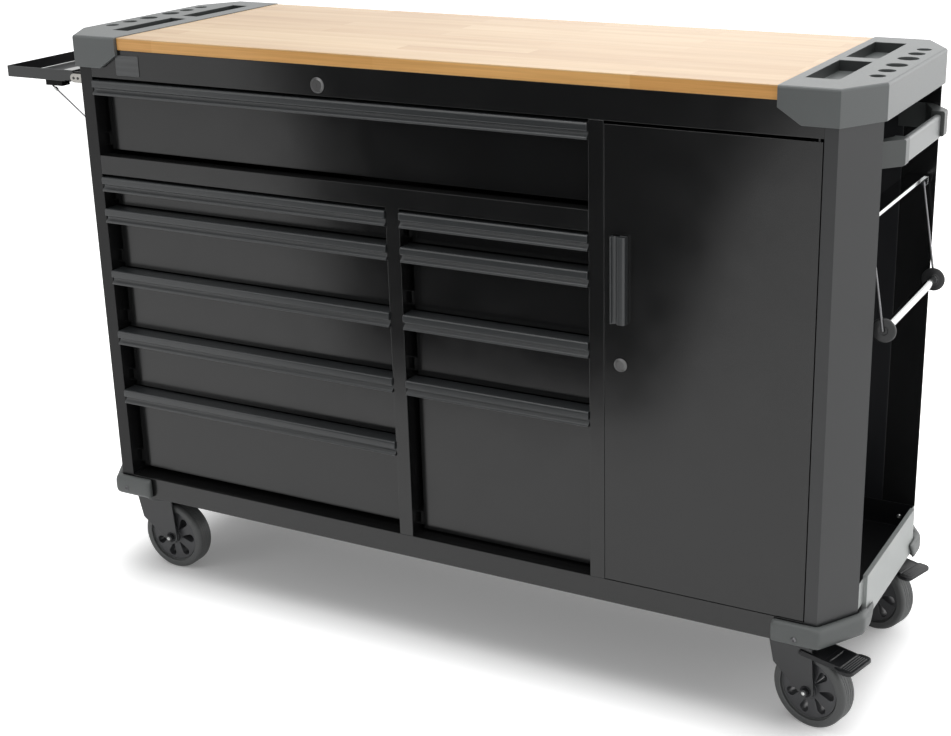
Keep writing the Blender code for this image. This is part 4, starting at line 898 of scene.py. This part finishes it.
for way, side_name, cheek_y in cheek_sides:
    cheek = bmesh.new()
    cheek_place = (wall_x, cheek_y, cheek_level)
    outline = [(-way * across, up) for across, up in cheek_line]
    flat_plate(cheek, outline, cheek_place, (-way, 0, 0), (0, 0, 1), cheek_thickness, 0.0003)
    for across in (-0.034, -cheek_reach):
        rivet = (wall_x + across, cheek_y + way * cheek_thickness, cheek_level)
        turned(cheek, rivet_line, 16, facing(rivet, (0, way, 0)), 1)
    piece_from("hinge_cheek_" + side_name, cheek, [cheek_zinc, rivet_steel], "cabinet")
strip_width = 0.020
strip_line = [
    (shelf_ends[0], 0), (shelf_ends[1], 0),
    (shelf_ends[1], strip_width), (shelf_ends[0], strip_width),
]
strip_place = (shelf_axis.x + 0.0045, 0, shelf_high.z - 0.0002)
strip = bmesh.new()
flat_plate(strip, strip_line, strip_place, (0, 1, 0), (-1, 0, 0), thickness=0.001, edge=0.0003)
piece_from("hinge_strip", strip, [bright_zinc], "side_shelf")

# Shelf stay: one bent steel wire that props the open shelf and folds down with it. A plated sleeve
# sits on each leg where the wire turns under a pad.
stay_pivot = Vector(joint_of["stay_fold"]["pos_m"])
stay_low, stay_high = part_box("shelf_stay")
stay_wire = 0.0015
stay_leg = stay_high.y - stay_wire
stay_tip = stay_leg - stay_wire - 0.003 - 0.0006
stay_top = Vector((stay_low.x + stay_wire, 0, stay_high.z - stay_wire))
stay_line = [
    (stay_pivot.x, -stay_tip, stay_pivot.z), (stay_pivot.x, -stay_leg, stay_pivot.z),
    (stay_top.x, -stay_leg, stay_top.z), (stay_top.x, stay_leg, stay_top.z),
    (stay_pivot.x, stay_leg, stay_pivot.z), (stay_pivot.x, stay_tip, stay_pivot.z),
]
stay_bend = stay_wire + 0.0003
stay_piece = bent_wire("stay_wire", stay_line, stay_wire, stay_bend, "shelf_stay", wire_steel)
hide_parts("shelf_stay")
sleeves = bmesh.new()
down_leg = Vector((stay_pivot.x - stay_top.x, 0, stay_pivot.z - stay_top.z)).normalized()
sleeve_line = [
    (stay_wire, 0), (0.0026, 0.0004), (0.0030, 0.0014),
    (0.0030, 0.0066), (0.0026, 0.0076), (stay_wire, 0.008),
]
for way in (-1, 1):
    sleeve_top = Vector((stay_top.x, way * stay_leg, stay_top.z)) + down_leg * 0.006
    turned(sleeves, sleeve_line, 24, facing(sleeve_top, down_leg))
piece_from("stay_sleeves", sleeves, [bright_zinc], "shelf_stay")


# Corner bumpers: soft grey plastic mouldings round the foot of each corner. Each is held by a dome
# screw in its front.
def worked_mesh(piece):
    """The mesh of a piece once its modifiers or bevels are worked in."""
    return bpy.data.meshes.new_from_object(
        piece.evaluated_get(bpy.context.evaluated_depsgraph_get())
    )


bumper_plastic = moulded(
    "bumper_plastic", (0.118, 0.126, 0.124), (0.100, 0.108, 0.107), 0.46, 700, 0.004
)
soft_bumpers = {}
for end_name in ("front_left", "rear_left", "front_right", "rear_right"):
    node_name = "bumper_" + end_name
    moulding = bpy.data.objects.new("soft_" + node_name, frame["nodes"][node_name].data.copy())
    bpy.context.scene.collection.objects.link(moulding)
    skin = moulding.modifiers.new("skin", "REMESH")
    skin.mode = "VOXEL"
    skin.voxel_size = 0.0020
    skin.use_smooth_shade = True
    ease = moulding.modifiers.new("ease", "SMOOTH")
    ease.factor = 0.6
    ease.iterations = 22
    shaped = worked_mesh(moulding)
    moulding.modifiers.clear()
    moulding.data = shaped
    shaped.materials.clear()
    shaped.materials.append(bumper_plastic)
    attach(moulding, "cabinet")
    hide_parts(node_name)
    soft_bumpers[end_name] = moulding
bpy.context.view_layer.update()
dark_steel = metal("dark_steel", (0.16, 0.16, 0.165), (0.11, 0.11, 0.115), 0.40)
bumper_screws = bmesh.new()
for end_name, start, direction in (
    ("front_right", (0.6327, -0.5, 0.168), (0, 1, 0)),
    ("front_left", (-0.646, -0.5, 0.170), (0, 1, 0)),
    ("rear_right", (0.90, 0.170, 0.170), (-1, 0, 0)),
    ("rear_left", (-0.646, 0.5, 0.170), (0, -1, 0)),
):
    place = (middle_x + start[0], start[1], start[2])
    spot = on_surface(soft_bumpers[end_name], place, direction)
    dome_screw(bumper_screws, *spot, 0.0046)
piece_from("bumper_screws", bumper_screws, [dark_steel], "cabinet")

# Casters: pressed steel forks, painted black, each on a plate held by four hexagon bolts under the
# base. A black washer and a bright axle end close either side of a fork.
# The fork coat's paler edge tone is a painted highlight.
fork_coat = powder_coat(
    "fork_coat", (0.036, 0.037, 0.039), (0.030, 0.031, 0.033), 0.32, 0.0014, (0.060, 0.062, 0.064)
)
corner_names = ("front_left", "front_right", "rear_left", "rear_right")
dress(fork_coat, *["caster_fork_" + corner for corner in corner_names])
bolt_line = [(0, 0.0045), (0.0042, 0.0045), (0.0050, 0.0038), (0.0050, -0.0006), (0, -0.0006)]
plate_bolts = bmesh.new()
for corner in corner_names:
    swivel = Vector(joint_of["swivel_" + corner]["pos_m"])
    for along in (-0.040, 0.040):
        for aside in (-0.0335, 0.0335):
            start = (swivel.x + along, swivel.y + aside, 0.10)
            place, _ = on_surface("base_pan", start, (0, 0, 1))
            turned(plate_bolts, bolt_line, 6, facing(place, (0, 0, -1)))
piece_from("plate_bolts", plate_bolts, [dark_steel], "cabinet", 20)
black_steel = metal("black_steel", (0.030, 0.030, 0.032), (0.020, 0.020, 0.022), 0.42)
washer_line = [
    (0.0061, 0.0232), (0.0094, 0.0232), (0.0094, 0.0242), (0.0088, 0.0248), (0.0061, 0.0248),
]
cap_line = [
    (0, 0.0330), (0.0016, 0.0328), (0.0028, 0.0320),
    (0.0034, 0.0313), (0.0034, 0.0305), (0, 0.0305),
]
for corner in corner_names:
    spin = joint_of["wheel_spin_" + corner]
    axle_ends = bmesh.new()
    for way in (-1, 1):
        outward = facing(Vector(spin["pos_m"]), way * Vector(spin["axis"]))
        turned(axle_ends, washer_line, 40, outward, 0)
        turned(axle_ends, cap_line, 24, outward, 1)
    finishes = [black_steel, bright_zinc]
    piece_from("axle_ends_" + corner, axle_ends, finishes, "caster_fork_" + corner)


# Wheels: a grey rubber tyre with fine running grooves, pressed on a moulded wheel with seven
# drop-shaped windows. A narrow dark gap parts the two, and the fork's bolt runs through the hub.
def circle(radius, steps):
    """Corners of a closed circle round the axis."""
    return [
        (radius * math.cos(math.tau * step / steps), radius * math.sin(math.tau * step / steps))
        for step in range(steps)
    ]


def web_mesh(outer, inner, half, edge):
    """The flat web with its windows: an outline with holes, given thickness and rounded edges."""
    flat = bpy.data.curves.new("web_outline", "CURVE")
    flat.dimensions = "2D"
    flat.fill_mode = "BOTH"
    loops = [circle(outer - edge, 112), circle(inner + edge, 48)]
    window_count = 7
    window_tip = 0.0165
    window_end = 0.0362
    window_round = 0.0080
    for index in range(window_count):
        turn = Matrix.Rotation(math.tau * (index + 0.5) / window_count, 2)
        loop = [(window_tip, -0.0016), (window_tip, 0.0016)]
        loop += arc((window_end, 0), window_round, 103, -103, 16)
        loops.append([tuple(turn @ Vector(point)) for point in loop])
    for loop in loops:
        line = flat.splines.new("POLY")
        line.points.add(len(loop) - 1)
        for point, (across, up) in zip(line.points, loop):
            point.co = (across, up, 0, 1)
        line.use_cyclic_u = True
    flat.extrude = half - edge
    flat.bevel_depth = edge
    flat.bevel_resolution = 2
    holder = bpy.data.objects.new("web_outline", flat)
    bpy.context.scene.collection.objects.link(holder)
    mesh = worked_mesh(holder)
    bpy.data.objects.remove(holder)
    bpy.data.curves.remove(flat)
    return mesh


wheel_radius = 0.0635
tyre_half = 0.0175
tyre_bore = 0.0480
tyre_round = 0.0062
web_outer = 0.0486
web_half = 0.0130
hub_radius = 0.0135
axle_radius = 0.0043
half_hub = tyre_half + 0.0026
groove_depth = 0.0007
groove_width = 0.0008
tyre_line = [
    (tyre_bore, 0.0), (tyre_bore, 0.0125), (0.0502, 0.0125), (0.0502, 0.0166), (0.0511, tyre_half),
]
tyre_line += arc((wheel_radius - tyre_round, tyre_half - tyre_round), tyre_round, 90, 0, 6)
groove_floor = wheel_radius - groove_depth
for groove in (0.0078, 0.0030):
    tyre_line += [
        (wheel_radius, groove + groove_width), (groove_floor, groove + groove_width / 2),
        (groove_floor, groove - groove_width / 2), (wheel_radius, groove - groove_width),
    ]
tyre_line += [(radius, -height) for radius, height in reversed(tyre_line[1:])]
hub_line = [
    (axle_radius, half_hub), (hub_radius - 0.0012, half_hub), (hub_radius, half_hub - 0.0012),
    (hub_radius, 0.0), (hub_radius, 0.0012 - half_hub), (hub_radius - 0.0012, -half_hub),
    (axle_radius, -half_hub),
]
wheel_rubber = moulded("wheel_rubber", (0.092, 0.095, 0.095), (0.078, 0.081, 0.081), 0.50, 500)
wheel_plastic = moulded(
    "wheel_plastic", (0.060, 0.061, 0.065), (0.050, 0.051, 0.055), 0.36, 700, 0.0010
)
web = web_mesh(web_outer, hub_radius - 0.001, web_half, 0.0009)
for corner in corner_names:
    spin = joint_of["wheel_spin_" + corner]
    wheel_turn = facing(Vector(spin["pos_m"]), Vector(spin["axis"]))
    wheel = bmesh.new()
    wheel.from_mesh(web)
    wheel.transform(wheel_turn)
    for face in wheel.faces:
        face.material_index = 1
    turned(wheel, tyre_line, 112, wheel_turn, 0)
    turned(wheel, hub_line, 48, wheel_turn, 1)
    wheel_piece = piece_from(
        "tyred_wheel_" + corner, wheel, [wheel_rubber, wheel_plastic], "wheel_" + corner
    )
    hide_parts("wheel_" + corner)

# Brake pedals: pressed steel, painted black, hinged on pins through the fork. The foot plate has
# pressed ribs for grip, and a dished cover joins the two arms.
# The pedal coat's paler edge tone is a painted highlight.
pedal_coat = powder_coat(
    "pedal_coat", (0.014, 0.0145, 0.016), (0.011, 0.0115, 0.013), roughness=0.34,
    edge_radius=0.0010, edge_highlight_tone=(0.070, 0.072, 0.075), gloss=0.30,
)
arm_inside = 0.0238
arm_thickness = 0.0025
arm_half = 0.0045
arm_reach = 0.066
arm_end = 0.070
arm_drop = 0.004
arm_line = arc((0, 0), arm_half, 90, 270, 8)
arm_line += [
    (arm_reach, -arm_drop - arm_half), (arm_end, -arm_drop - arm_half + 0.001),
    (arm_end, -arm_drop + arm_half - 0.001), (arm_reach, -arm_drop + arm_half),
]
other_arm_line = [(-across, up) for across, up in reversed(arm_line)]
shoe_line = [(0.040, -0.0245), (0.048, -0.0245), (0.048, 0.0245), (0.040, 0.0245)]
pin_line = [(0, 0), (0.0030, 0), (0.0030, 0.0042), (0.0024, 0.0048), (0, 0.0048)]
foot_far = 0.0912
foot_half = 0.0335
foot_round = 0.0095
foot_line = [(0.058, -0.0260), (0.065, -0.0300), (0.071, -0.0330)]
foot_line += arc((foot_far - foot_round, -foot_half + foot_round), foot_round, -90, 0, 6)
foot_line += [(along, -aside) for along, aside in reversed(foot_line)]
rib_line = rounded_outline((-0.0007, -0.0245), (0.0007, 0.0245), 0.0006, 3)
cover_steps = 10
cover_start = (0.0200, 0.0029)
cover_end = (0.0690, 0.0001)
cover_half = arm_inside + 0.0006
cover_dish = 0.0022
cover_thickness = 0.0012
for corner in ("front_right", "rear_right"):
    brake = joint_of["brake_" + corner]
    pivot = Vector(brake["pos_m"])
    along = Vector((brake["axis"][1], -brake["axis"][0], 0))
    aside = Vector(brake["axis"])
    upward = Vector((0, 0, 1))
    pedal = bmesh.new()
    arm_place = pivot - aside * arm_inside
    flat_plate(pedal, arm_line, arm_place, along, upward, arm_thickness, 0.0005)
    arm_place = pivot + aside * arm_inside
    flat_plate(pedal, other_arm_line, arm_place, -along, upward, arm_thickness, 0.0005)
    flat_plate(pedal, shoe_line, pivot - upward * 0.0030, along, aside, 0.0040, 0.0005)
    for way in (-1, 1):
        turned(pedal, pin_line, 20, facing(pivot + aside * way * 0.0225, aside * way))
    foot_origin = pivot - upward * (arm_drop + 0.0028)
    flat_plate(pedal, foot_line, foot_origin, along, aside, thickness=0.0050, edge=0.0012)
    for step in range(5):
        rib_origin = foot_origin + along * (0.0690 + 0.0040 * step) + upward * 0.0048
        flat_plate(pedal, rib_line, rib_origin, along, aside, thickness=0.0010, edge=0.0004)
    layers = []
    for sink in (0, cover_thickness):
        layer = []
        for row in range(cover_steps + 1):
            share = row / cover_steps
            ahead = cover_start[0] + (cover_end[0] - cover_start[0]) * share
            level = cover_start[1] + (cover_end[1] - cover_start[1]) * share
            line = []
            for column in range(cover_steps + 1):
                across = -1 + 2 * column / cover_steps
                dish = cover_dish * math.sin(math.pi * share) * (1 - across * across)
                place = pivot + along * ahead + aside * (cover_half * across)
                line.append(pedal.verts.new(place + upward * (level - dish - sink)))
            layer.append(line)
        layers.append(layer)
        for near, far in zip(layer, layer[1:]):
            for column in range(cover_steps):
                pedal.faces.new((near[column], near[column + 1], far[column + 1], far[column]))
    rims = []
    for layer in layers:
        rim = layer[0][:-1] + [line[-1] for line in layer[:-1]]
        rims.append(rim + layer[-1][:0:-1] + [line[0] for line in layer[:0:-1]])
    side_faces(pedal, rims)
    pedal_piece = piece_from(
        "pressed_pedal_" + corner, pedal, [pedal_coat], "brake_pedal_" + corner
    )
    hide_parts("brake_pedal_" + corner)
